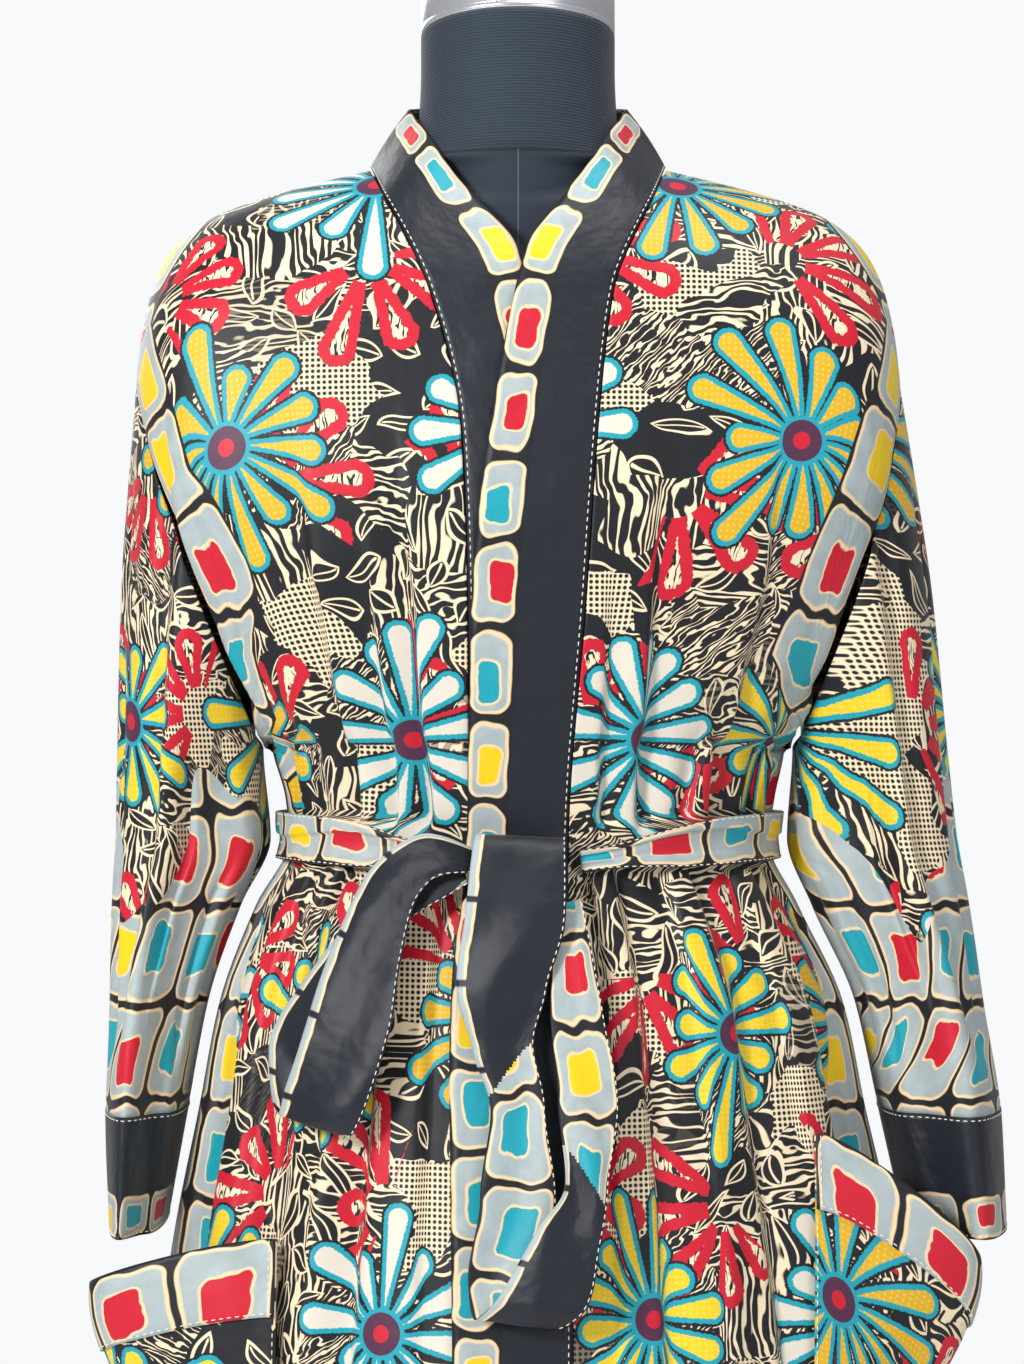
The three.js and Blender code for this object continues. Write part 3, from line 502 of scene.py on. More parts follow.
def sleeve(side, material):
    turn = sleeve_turns(side, 216)
    top = mix(ARMHOLE_TOP_Z, UNDERARM_Z, (1 - np.cos(np.radians(turn))) / 2) - 1.8
    z = mix(top, CUFF_TOP_Z, np.linspace(0, 1, 110)[:, None])
    creased = sleeve_creases(turn, z)
    points = sleeve_point(side, turn + 0 * z, z, creased)
    around = np.linspace(0, SLEEVE_ROUND, 217)[None, :] + 0 * z[:, :1]
    around[:, 1:] += np.cumsum(np.abs(np.diff(creased, axis=1, append=creased[:, :1])), 1) * 0.8
    z_wide = np.concatenate([z, z[:, :1]], 1)
    flat = np.stack([around + (SLEEVE_PRINT_START + 500 * SIDES[side]), z_wide], -1)
    uv = {"flat": flat, "border": flat}
    obj = shell("robe_sleeve_" + side, points, CLOTH, uv, [material], round_way=True)
    settle(obj, "sleeve_" + side)


def sleeve_creases(turn, z):
    """Soft uneven creases of a hanging sleeve: drag lines from the shoulder and folds at the elbow."""
    t = turn % 360
    top, low = smooth((1290 - z) / 90), smooth((z - 884) / 50)
    pull = 0
    for at, slope, width, depth, high, foot in SLEEVE_CREASES:
        off = wrapped(t - at - slope * (z - 1050))
        steep = np.where(off > 0, width * 0.45, width)
        reach_z = smooth((high - z) / 70) * smooth((z - foot) / 60)
        pull = pull + depth * reach_z * bell(off, steep)
    return (1.2 * np.sin(np.radians(3 * t) + z * 0.012 + 0.6) - pull) * top * low


def cuff(side, material):
    z = np.linspace(CUFF_TOP_Z - 0.4, CUFF_BOTTOM_Z, 22)[:, None] + np.zeros((1, 132))
    points = sleeve_point(side, sleeve_turns(side, 132) + 0 * z, z, 0.4)
    around = np.linspace(0, SLEEVE_ROUND, 133)[None, :] + 0 * z[:, :1]
    down = CUFF_TOP_Z - np.concatenate([z, z[:, :1]], 1)
    uv = {"flat": np.stack([down - 7, around], -1)}
    obj = shell("robe_cuff_" + side, points, CLOTH + 0.4, uv, [material], round_way=True)
    settle(obj, "cuff_" + side)
    turned = grid_normals(points, True)
    for row, name in ((0, "top"), (-1, "mouth")):
        path = beside(points, row, 0.5)
        path, out = [np.concatenate([line, line[:1]]) for line in (path, turned[row])]
        stitches("cuff_stitches_" + name + "_" + side, path, out)


def spline(points, count):
    """A smooth curve through points, with the same parameter along each stretch."""
    p = np.array(points, float)
    p = np.concatenate([2 * p[:1] - p[1:2], p, 2 * p[-1:] - p[-2:-1]])
    t = np.linspace(0, len(points) - 1, count)
    k = np.minimum(t.astype(int), len(points) - 2)
    w = (t - k)[:, None]
    a, b, c, d = p[k], p[k + 1], p[k + 2], p[k + 3]
    return 0.5 * (2 * b + (c - a) * w + (2 * a - 5 * b + 4 * c - d) * w ** 2
                  + (3 * b - a - 3 * c + d) * w ** 3)


BAND_HEIGHTS = [
    1383, 1362, 1325, 1286, 1236, 1186, 1140, 1090, 1046, 1015, 980, 930, 860, 739, 600, 470, 330, 190]


def band_edges(side):
    lapped = side == "left"
    s = SIDES[side]
    seam_x, _, seam_z, free_x, _, free_z = COLLAR[2]
    seams, frees = [(s * seam_x, -1.2, seam_z)], [(s * free_x, -1.2, free_z)]
    for seam_z, x, y, z in COLLAR_FRONT:
        seam_x = read(SEAMS, "z", side, seam_z) - 1.1
        seams.append(body_point(side, "front", seam_x, seam_z, 1.1))
        frees.append((s * x, y - (BAND_LIFT if lapped else 0), z))
    for z in BAND_HEIGHTS:
        seams.append(body_point(side, "front", read(SEAMS, "z", side, z) - SEAM_GAP, z))
        x = float(read(SEAMS, "z", "lapped" if lapped else "under", z))
        rise = 14 * float(smooth((z - 1286) / 100))
        lift = BAND_LIFT if lapped else -BAND_LIFT
        frees.append(body_point("right" if x < 0 else "left", "front", abs(x), z + rise, lift))
    return seams, frees


def band_grid(seams, frees, steps, flip):
    seam, free = spline(seams, steps), spline(frees, steps)
    across = np.linspace(0, 1, 15)[None, :, None]
    grid = mix(seam[:, None], free[:, None], across)
    v = run_along((seam + free) / 2)[:, None] + np.zeros((1, 15))
    u = BAND_WIDTH * across[..., 0] + 0 * v
    if flip:
        grid, u, v = grid[:, ::-1], u[:, ::-1], v[:, ::-1]
    return grid, u, v


def front_band(side, material):
    seams, frees = band_edges(side)
    grid, u, v = band_grid(seams, frees, 420, side == "right")
    bulge = 1.2 * np.sin(np.pi * u / BAND_WIDTH)
    grid = grid + grid_normals(grid) * bulge[..., None]
    obj = shell("robe_band_" + side, grid, CLOTH, {"flat": np.stack([u, v], -1)}, [material])
    settle(obj, "neckband_" + side)
    edge = -1 if side == "right" else 0
    path = beside(columns_of(grid), edge, 0.45)
    stitches("band_stitches_" + side, path, grid_normals(grid)[:, edge])


def back_band(material):
    seams, frees = [], []
    order = [(-1, row) for row in COLLAR[::-1]] + [(1, row) for row in COLLAR[1:]]
    for s, (seam_x, seam_y, seam_z, free_x, free_y, free_z) in order:
        nudge = 0.4 if seam_x > 80 else 0
        seams.append((s * seam_x, seam_y + nudge, seam_z))
        frees.append((s * free_x, free_y + nudge, free_z))
    grid, u, v = band_grid(seams, frees, 120, False)
    obj = shell("robe_band_back", grid, CLOTH, {"flat": np.stack([u, v], -1)}, [material])
    settle(obj, "neckband_back")


def pocket_points(side, u, v):
    p = POCKETS[side]
    z = mix(mix(p["mouth_in"], p["mouth_out"], smooth(u * 1.15)), mix(p["foot_in"], p["foot_out"], u), v)
    outer = read(BODY, "z", side, z) * POCKET_REACH
    x = mix(p["inner"], outer, np.sin(u * math.pi / 2))
    sewn = body_point(side, "front", x, z, CLOTH + 0.9)
    bag = body_point(side, "front", x, z, POCKET_LIFT, False)
    inside = smooth(np.minimum(u, 1 - u) * 6) * smooth((1 - v) * 5)
    point = mix(sewn, bag, inside[..., None])
    opened = p["gape"] * np.sin(math.pi * u ** 1.5) * (1 - smooth(v * 1.1)) ** 1.4
    point[..., 0] += SIDES[side] * opened
    point[..., 1] -= 0.3 * opened
    return point


def pocket(side, bag_material, band_material):
    depth = POCKETS[side]["mouth_in"] - POCKETS[side]["foot_in"]
    v, u = np.meshgrid(np.linspace(0, 1, 60), np.linspace(0, 1, 56), indexing="ij")
    grid = pocket_points(side, u, v)
    if side == "left":
        grid, u, v = grid[:, ::-1], u[:, ::-1], v[:, ::-1]
    ripple = 1.1 * np.sin(u * 17 + v * 5) * np.sin(np.pi * v) * np.sin(np.pi * u)
    grid = grid + grid_normals(grid) * ripple[..., None]
    flat = np.stack([POCKET_PRINT_START + 300 * SIDES[side] + u * POCKET_WIDTH, -v * depth], -1)
    uv = {"flat": flat, "border": np.stack([np.full_like(u, POCKET_BORDER), v], -1)}
    obj = shell("pocket_bag_" + side, grid, CLOTH, uv, [bag_material])
    settle(obj, "pocket_" + side)
    keep = int(round(POCKET_BAND / depth * 59)) + 1
    top = grid[:keep] + grid_normals(grid)[:keep] * (CLOTH + 0.5)
    flat = np.stack([u[:keep] * POCKET_WIDTH, v[:keep] * depth], -1)
    band = shell("pocket_band_cloth_" + side, top, CLOTH, {"flat": flat}, [band_material])
    settle(band, "pocket_band_" + side)
    out = grid_normals(top)
    stitches("pocket_stitches_low_" + side, beside(top, -1, 0.6), out[-1])
    inner = -1 if side == "left" else 0
    path = beside(columns_of(grid), inner, 0.6)[keep:]
    stitches("pocket_stitches_side_" + side, path, grid_normals(grid)[keep:, inner])
    path = beside(columns_of(top), inner, 0.8, 2)
    stitches("pocket_stitches_band_" + side, path, out[:, inner])


def around_body(turn, z, lift):
    turn = wrapped(turn)
    point = np.zeros(np.broadcast(turn, z).shape + (3,))
    for side in SIDES:
        for face in FACES:
            mine = ((turn < 0) == (side == "right")) & ((np.abs(turn) <= 90) == (face == "front"))
            x = read(BODY, "z", side, z) * np.abs(np.sin(np.radians(turn)))
            point = np.where(mine[..., None], body_point(side, face, x, z, lift), point)
    return point


def sash(material):
    share, t = np.meshgrid(np.linspace(1, -1, 27), np.linspace(0, 1, 420), indexing="ij")
    turn = mix(-12.5, -347, t)
    near = bell(np.where(turn < -180, turn + 360, turn), 34)
    height = mix(BELT_HEIGHT, 12, smooth(1.35 * near - 0.1))
    z = BELT_Z + 2 - 13 * near + share * height / 2
    upper = smooth((share - 0.32 - 0.3 * np.sin(t * 21 + 0.7)) / 0.14 + 0.5)
    lower = smooth((share + 0.38 - 0.24 * np.sin(t * 17 + 3.1)) / 0.14 + 0.5)
    lower = lower * smooth(1.6 - 4 * (np.abs(wrapped(turn)) / 180))
    fold = 2.0 * upper - 1.6 * lower + 0.5 * np.cos(share * 5.2 + 3 * np.sin(t * 19)) * (0.4 + near)
    lift = BELT_WALL + 2.4 + 4.5 * near + 0.8 * (1 - share * share) + fold
    grid = around_body(turn, z, lift)
    flat = np.stack([share * 14 + 14 + 12 * upper + 8 * lower, t * 860], -1)
    obj = shell("belt_round_waist", grid, BELT_WALL, {"flat": flat}, [material])
    settle(obj, "sash")
    out = grid_normals(grid)
    for row, name in ((0, "high"), (-1, "low")):
        stitches("belt_stitches_" + name, beside(grid, row, 0.8), out[row])


def bow_loop(side, tiles, satin, switches):
    across, t = np.meshgrid(np.linspace(-1, 1, 31), np.linspace(0, 1, 300), indexing="xy")
    rows = LOOPS[side]
    at = {c: read(rows, "t", c, t) for c in ("x", "z", "lift", "half", "tilt")}
    if side == "left":
        start = t <= LOOP_WRAP_END
        at["lift"] = np.where(start, read(LOOP_WRAP, "t", "lift", t), at["lift"])
        at["z"] = np.where(start, read(LOOP_WRAP, "t", "z", t), at["z"])
    tilt = np.radians(at["tilt"])
    x = at["x"] + across * at["half"] * np.cos(tilt)
    z = at["z"] + across * at["half"] * np.sin(tilt)
    right, left = [body_point(s, "front", np.abs(x), z, at["lift"], False)[..., 1] for s in SIDES]
    under = np.where(x < 0, right, left)
    wave = 2.0 * np.sin(across * 3.4 + t * 21 + 1.5 * np.sin(t * 9)) * np.sin(np.pi * t) ** 0.5
    grid = np.stack([x, under - 1.5 * (1 - across ** 2) + wave, z], -1)
    v = run_along(grid[:, 15])[:, None] + 0 * across
    flat = np.stack([across * 24 + 24, v], -1)

    def paint(row, column, layer):
        outside = layer == 0
        share = row / 299 + (column / 15 - 1) * 0.032
        flipped = np.zeros(len(row), bool)
        for start, end in switches:
            flipped |= (share >= start) & (share < end)
        return np.where(outside ^ flipped, 0, 1)

    obj = shell("belt_loop_" + side, grid, 1.2, {"flat": flat}, [tiles, satin], paint=paint)
    settle(obj, "bow_loop_" + side)
    out = grid_normals(grid)[:, -1]
    path = beside(columns_of(grid), -1, 0.6)
    stitches("loop_stitches_front_" + side, path, out)
    stitches("loop_stitches_rear_" + side, path - out * 1.2, -out)


# The dress form and its stand


def form_ring(z, width, front, back, turns):
    tilted = math.tan(math.radians(NECK_TILT)) * float(smooth((z - 1465) / 50))
    x = width * np.cos(turns)
    ahead = np.sin(turns) < 0
    y = np.where(ahead, front, back) * np.abs(np.sin(turns))
    if 1250 < z < NECK_Z:
        limit = np.zeros_like(x)
        for side, s in SIDES.items():
            for face in FACES:
                mine = (np.sign(x) == s) & (ahead == (face == "front"))
                robe = np.abs(body_point(side, face, np.abs(x), z + 3.4)[..., 1]) - 2.4
                limit = np.where(mine, robe, limit)
        column = 58 * np.sqrt(np.maximum(0, 1 - (x / 60) ** 2))
        y = np.minimum(y, np.maximum(np.maximum(limit, column), 0.5))
    y = np.where(ahead, -y, y)
    return np.stack([x, y, z - y * tilted], -1)


def form_shoulder(z):
    near, far = NECK_RADIUS, 200.0
    for _ in range(30):
        middle = (near + far) / 2
        if ridge_at(middle) > z + 5.4:
            near = middle
        else:
            far = middle
    return near


def tube_faces(count, around):
    """Faces of a closed skin over rings of points, flat at both ends."""
    i, j = np.meshgrid(np.arange(count - 1), np.arange(around), indexing="ij")
    i, j, k = i.ravel(), j.ravel(), (j.ravel() + 1) % around
    corners = [i * around + j, i * around + k, (i + 1) * around + k, (i + 1) * around + j]
    faces = np.stack(corners, -1).tolist()
    return faces + [list(range(around))[::-1], [(count - 1) * around + n for n in range(around)]]


def lofted(name, rings, material):
    rings = np.array(rings)
    faces = tube_faces(*rings.shape[:2])
    obj = made(name, rings.reshape(-1, 3), faces, [material])
    flat = np.tile([0.024, 0.02], sum(len(face) for face in faces))
    obj.data.uv_layers.new(name="flat").data.foreach_set("uv", flat)
    obj.data.update()
    return obj


def form_sizes(rows, z):
    return [float(read(rows, "z", column, z)) for column in ("width", "front", "back")]


def form(material):
    turns = np.linspace(0, 2 * math.pi, 128, endpoint=False)
    rings = [form_ring(TORSO_BOTTOM_Z, *size, turns) for size in ((150, 102, 100), (153, 105, 103))]
    for z in np.concatenate([np.linspace(817, 1380, 70), [1386, 1392]]):
        rings.append(form_ring(z, *form_sizes(FORM, z), turns))
    for z in np.linspace(1396, 1436, 14):
        share = (z - 1392) / 48
        width = min(form_shoulder(z) - 4, 184)
        rings.append(form_ring(z, width, mix(60, 58, share), mix(62, 60, share), turns))
    for z in np.concatenate([np.linspace(1440, 1450, 5), np.linspace(1453, 1518, 30), [1520.2, 1521]]):
        width, front, back = form_sizes(FORM_NECK, z)
        groove = 0.9 * math.exp(-(((z - NECK_GROOVE_Z) / 1.1) ** 2)) + (0.8 if z > 1520.5 else 0)
        rings.append(form_ring(z, width - groove, front - groove, back - groove, turns))
    settle(lofted("dress_form", rings, material), "form_torso")


def lathe(name, profile, z, material, steps=96, tilt=0.0):
    """A turned piece from (radius, height) pairs, standing at a height."""
    turns = np.linspace(0, 2 * math.pi, steps, endpoint=False)
    c, s = math.cos(math.radians(tilt)), math.sin(math.radians(tilt))
    rings = []
    for radius, height in profile:
        x, y = radius * np.cos(turns), radius * np.sin(turns)
        rings.append(np.stack([x, y * c + height * s, z + height * c - y * s], -1))
    return lofted(name, rings, material)


def stand_and_cap(material):
    r, h = NECK_RADIUS, CAP_HEIGHT
    cap = [(0.2, 0), (r - 2, 0), (r - 0.6, 0.4), (r, 1.5), (r, 3.2), (r - 0.5, 3.8), (r - 0.5, 4.4), (r, 5),
           (r, h - 8), (r - 0.8, h - 5), (r - 3, h - 2), (r - 7, h + 0.8), (r - 12, h + 3), (28, h + 9),
           (14, h + 11), (9, h + 12), (7.2, h + 14), (7, h + 17), (9.5, h + 19.5), (12, h + 22),
           (13.7, h + 25), (14, h + 28), (12.6, h + 31.5), (10, h + 34), (5, h + 36.4), (0.2, h + 37)]
    obj = lathe("neck_cap", cap, NECK_TOP_Z + SEAM_GAP / 2, material, tilt=NECK_TILT)
    settle(obj, "form_cap")
    tube = [(POLE_RADIUS, 0), (POLE_RADIUS, TORSO_BOTTOM_Z - HUB_TOP_Z - SEAM_GAP)]
    pole = lathe("stand_tube", tube, HUB_TOP_Z + SEAM_GAP / 2, material, 48)
    settle(pole, "stand_pole")
    hub, r, h, top = POLE_RADIUS + 14, BASE_RADIUS, BASE_HEIGHT, HUB_TOP_Z
    base = [(0.5, 0), (r - 3, 0), (r - 0.9, 0.9), (r, 3), (r, h - 8), (r - 2, h - 3), (r - 8, h),
            (hub + 6, h + 6), (hub + 1, h + 8.5), (hub, h + 12), (hub - 2, top - 2), (hub - 4, top),
            (0.5, top)]
    settle(lathe("stand_foot", base, 0, material), "stand_base")


def knot(material):
    middle = around_body(np.array(0.0), np.array(1034.0), 11.7)
    rings = []
    for share in np.linspace(0, 1, 34):
        along = mix(-1, 1, mix(0.04, 0.96, share))
        swell = math.sqrt(1 - along ** 4)
        turn = np.linspace(0, 2 * math.pi, 64, endpoint=False)
        fold = 1 - 0.1 * np.cos(turn * 5 + along * 4) ** 2
        y = middle[1] + 9 * swell * fold * np.cos(turn)
        z = middle[2] + 13 * swell * fold * np.sin(turn) - 2 * along
        rings.append(np.stack([1.5 + 24 * along + 0 * turn, y, z], -1)[::-1])
    settle(lofted("belt_knot", rings, material), "sash_knot")


# Stitching

STITCH = 2.7
STITCH_GAP = 2.0
THREAD_RADIUS = 0.32
THREAD_SIDES = 6


def stitches(name, path, out):
    """A row of short threads along a path, each lying just off the cloth."""
    path, out = np.asarray(path, float), np.asarray(out, float)
    run = run_along(path)
    starts = np.arange(1.0, run[-1] - STITCH, STITCH + STITCH_GAP)

    def at(distance, rows):
        return np.stack([np.interp(distance, run, rows[:, c]) for c in range(3)], -1)

    a, b = at(starts, path), at(starts + STITCH, path)
    up = unit(at(starts + STITCH / 2, out))
    way = unit(b - a)
    side = np.cross(way, up)
    points = []
    ends = [(a, -0.15, 0.45), (a + way * 0.5, 0.1, 1), (b - way * 0.5, 0.1, 1), (b, -0.15, 0.45)]
    for place, lift, size in ends:
        for k in range(THREAD_SIDES):
            angle = 2 * math.pi * k / THREAD_SIDES
            ring = side * math.cos(angle) + up * math.sin(angle)
            points.append(place + up * lift + ring * THREAD_RADIUS * size)
    points = np.stack(points, 1)
    count = points.shape[1]
    one = tube_faces(len(ends), THREAD_SIDES)
    faces = [[corner + k * count for corner in face] for k in range(len(starts)) for face in one]
    obj = made(name, points.reshape(-1, 3), faces, [thread])
    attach(obj, "root")


# Numbers worked out at each point of the cloth, as chains of material nodes


class Field:
    def __init__(self, tree, socket):
        self.tree, self.socket = tree, socket

    def __add__(self, other):
        return calc("ADD", self, other)

    def __sub__(self, other):
        return calc("SUBTRACT", self, other)

    def __rsub__(self, other):
        return calc("SUBTRACT", other, self)

    def __mul__(self, other):
        return calc("MULTIPLY", self, other)

    def __truediv__(self, other):
        return calc("DIVIDE", self, other)

    __radd__, __rmul__ = __add__, __mul__


def plug(place, value):
    if isinstance(value, Field):
        place.id_data.links.new(value.socket, place)
    else:
        place.default_value = value


def calc(kind, *values, clamp=False):
    tree = next(v.tree for v in values if isinstance(v, Field))
    node = tree.nodes.new("ShaderNodeMath")
    node.operation, node.use_clamp = kind, clamp
    for place, value in zip(node.inputs, values):
        plug(place, value)
    return Field(tree, node.outputs[0])


def texture(tree, kind, output, settings, **inputs):
    """One texture node with its settings and inputs."""
    node = tree.nodes.new(kind)
    for name, value in settings.items():
        setattr(node, name, value)
    for name, value in inputs.items():
        plug(node.inputs[name], value)
    return Field(tree, node.outputs[output])


def vector(x, y, z=0.0):
    return texture(x.tree, "ShaderNodeCombineXYZ", 0, {}, X=x, Y=y, Z=z)


def chance(x, y, seed):
    """A number from 0 to 1 that stays the same all over one cell."""
    settings = {"noise_dimensions": "3D"}
    return texture(x.tree, "ShaderNodeTexWhiteNoise", "Value", settings, Vector=vector(x, y, seed))


def noise(x, y, size, detail=2.0, seed=0.0):
    """Soft noise from 0 to 1 with lumps of about a size in millimetres."""
    place = vector(x / size, y / size, seed)
    settings = {"noise_dimensions": "3D"}
    return texture(x.tree, "ShaderNodeTexNoise", 0, settings, Vector=place, Scale=1.0, Detail=detail)


def below(x, edge, soft=0.4):
    """1 where a number is under an edge, 0 over it."""
    return calc("MULTIPLY_ADD", edge - x, 1 / soft, 0.5, clamp=True)


def reach(x, y):
    return calc("SQRT", x * x + y * y)


def size_of(x):
    return calc("ABSOLUTE", x)


def fraction(x):
    return calc("FRACT", x)


def pick(a, b, share):
    """Colour a, turning into b where the share is 1."""
    tree = share.tree
    node = tree.nodes.new("ShaderNodeMix")
    node.data_type = "RGBA"
    plug(node.inputs[0], share)
    plug(node.inputs[6], a)
    plug(node.inputs[7], b)
    return Field(tree, node.outputs[2])


def hue(code):
    """Linear colour of a six-figure code."""
    parts = [int(code[i:i + 2], 16) / 255 for i in (0, 2, 4)]
    return tuple([p / 12.92 if p < 0.04045 else ((p + 0.055) / 1.055) ** 2.4 for p in parts] + [1.0])


INK, CREAM, TEAL, CRIMSON = hue("101218"), hue("F2DEBB"), hue("129DAE"), hue("C8102C")
MUSTARD, OCHRE, PEARL, PLUM = hue("F0CB0C"), hue("E0B00C"), hue("DDD6C9"), hue("4E2442")
NIGHT = hue("171C26")
SLATE, SHELL, GAP = hue("93A1A5"), hue("F0D3A6"), hue("14161D")


def new_material(name, roughness, sheen=0.0):
    material = bpy.data.materials.new(name)
    material.use_nodes = True
    shader = material.node_tree.nodes["Principled BSDF"]
    shader.inputs["Roughness"].default_value = roughness
    shader.inputs["Sheen Weight"].default_value = sheen
    return material, material.node_tree, shader


def relief(shader, height, strength, distance):
    """Fine relief of a finish, its distance in metres."""
    node = height.tree.nodes.new("ShaderNodeBump")
    node.inputs["Strength"].default_value = strength
    node.inputs["Distance"].default_value = distance
    plug(node.inputs["Height"], height)
    height.tree.links.new(node.outputs[0], shader.inputs["Normal"])


def plain(name, code, roughness, metallic=0.0):
    material, _, shader = new_material(name, roughness)
    shader.inputs["Base Color"].default_value = hue(code)
    shader.inputs["Metallic"].default_value = metallic
    return material


def cloth_material(name, colour_at, roughness, distance, *layers):
    """A cloth whose colour comes from flat coordinates, and those of more layers, in millimetres."""
    material, tree, shader = new_material(name, roughness, 0.1)

    def place(layer):
        node = tree.nodes.new("ShaderNodeUVMap")
        node.uv_map = layer
        split = tree.nodes.new("ShaderNodeSeparateXYZ")
        tree.links.new(node.outputs[0], split.inputs[0])
        return Field(tree, split.outputs[0]) * 1000, Field(tree, split.outputs[1]) * 1000

    u, v = place("flat")
    more = [number for layer in layers for number in place(layer)]
    plug(shader.inputs["Base Color"], colour_at(u, v, *more))
    shader.inputs["Specular IOR Level"].default_value = 0.35
    crumple = noise(u, v, 34.0, 3.0) * 2.2
    weave = calc("SINE", u * 5.2) * calc("SINE", v * 5.2) * 0.025
    relief(shader, crumple + weave, 0.6, distance)
    return material


def rounded_box(x, y, half_x, half_y, corner):
    """Distance from a rounded box, negative inside it."""
    dx = size_of(x) - (half_x - corner)
    dy = size_of(y) - (half_y - corner)
    outside = reach(calc("MAXIMUM", dx, 0.0), calc("MAXIMUM", dy, 0.0))
    return outside + calc("MINIMUM", calc("MAXIMUM", dx, dy), 0.0) - corner


def tiled(u, v, wide, high, seed=3.0):
    """Hand-drawn tiles with cream edges round a small coloured square."""
    wobble_u = u + (noise(u, v, 26.0, 1.0, seed) - 0.5) * 9
    wobble_v = v + (noise(v, u, 26.0, 1.0, seed + 4) - 0.5) * 14
    column, row = calc("FLOOR", u / wide), calc("FLOOR", wobble_v / high)
    x = (fraction(u / wide) - 0.5) * wide + (wobble_u - u) * 0.5
    y = (fraction(wobble_v / high) - 0.5) * high
    edge = rounded_box(x, y, wide / 2 - 1.8, high / 2 - 2.2, 8.0)
    shade = noise(u, v, 12.0, 2.0, seed)
    colour = pick(GAP, SHELL, below(edge, 0.0, 0.7))
    colour = pick(colour, pick(SLATE, hue("B9C3C2"), shade), below(edge, -2.0, 1.2))
    inner_x = x + (chance(column, row, seed) - 0.5) * 8
    inner_y = y + (chance(column, row, seed + 1) - 0.5) * 10
    inner = rounded_box(inner_x, inner_y, wide * 0.23, high * 0.23, 4.0) + (shade - 0.5) * 4
    draw = chance(column, row, seed + 2)
    spot = pick(pick(CRIMSON, TEAL, below(draw, 0.62, 0.001)), MUSTARD, below(draw, 0.24, 0.001))
    colour = pick(colour, SHELL, below(inner, 1.5, 0.8))
    return pick(colour, spot, below(inner, 0.0))


PETAL_START = 12.0


def petals(x, y, count, least, spread, width, cell, row, seed):
    """Distance from a ring of petals that widen outwards, negative inside, and from its middle."""
    radius = reach(x, y)
    turn = calc("ARCTAN2", y, x) / (2 * math.pi) + chance(cell, row, seed) + 1.0
    sector = turn * count
    index = calc("FLOORED_MODULO", calc("FLOOR", sector), count)
    bent = (fraction(sector) - 0.5) * (2 * math.pi) / count
    side, along = radius * calc("SINE", bent), radius * calc("COSINE", bent)
    length = chance(index + cell * 7, row, seed + 1) * spread + least
    along = calc("MAXIMUM", along, PETAL_START)
    past = along - calc("MINIMUM", along, length - width)
    widening = calc("MINIMUM", (along - PETAL_START) / (length - 20.0), 1.0)
    return reach(side, past) - (widening * (width - 2.4) + 2.4), radius


def staggered(u, v, wide, high, right=0.0, up=0.0):
    """The place in a cell, from its middle, and which cell it is, in staggered rows of cells."""
    row = calc("FLOOR", v / high + up)
    shifted = u / wide + calc("FLOORED_MODULO", row, 2.0) * 0.5 + right
    cell = calc("FLOOR", shifted)
    return (fraction(shifted) - 0.5) * wide, (fraction(v / high + up) - 0.5) * high, cell, row


def scattered(u, v, wide, high, seed, right=0.0, up=0.0):
    """The same, from a middle that is moved about from cell to cell."""
    x, y, cell, row = staggered(u, v, wide, high, right, up)
    x, y = [at + (chance(cell, row, seed + k) - 0.5) * 16 for k, at in enumerate((x, y))]
    return x, y, cell, row


def spots(u, v, pitch):
    """Distance from the middle of the nearest of many evenly set spots."""
    return reach((fraction(u / pitch) - 0.5) * pitch, (fraction(v / pitch) - 0.5) * pitch)


def hairs(u, v, pitch, size, thick, seed):
    """Uneven woodcut strokes that run along u, 1 on a stroke."""
    wander = noise(u / 2.2, v, size, 2.0, seed) * 6.0
    across = size_of(fraction(v / pitch + wander) - 0.5)
    swell = noise(u / 2.0, v, size * 0.45, 1.0, seed + 3)
    return below(across, swell * thick - 0.14, 0.07)


def leaves(u, v, wide, high, seed):
    """Small veined leaves at different angles, 1 on the pale part."""
    x, y, cell, row = staggered(u, v, wide, high)
    angle = chance(cell, row, seed) * 6.28
    c, d = calc("COSINE", angle), calc("SINE", angle)
    along, side = x * c + y * d, size_of(y * c - x * d)
    half = 5.6 - along * along * 0.031
    rim = size_of(side - half)
    vein = below(side, 0.55, 0.3) * below(size_of(along), 15.0)
    inner = below(side, half - 1.6, 0.3)
    drawn = calc("MAXIMUM", below(rim, 0.85, 0.3) * below(0.0, half + 1.0), vein * inner)
    return drawn, below(side, half, 0.3)


BLOCK = 50.0
SPRIG_WIDE, SPRIG_HIGH = 121.0, 138.0
FLOWER_PITCH = 172.0
SLEEVE_TILES_TOP_Z = 1042.0


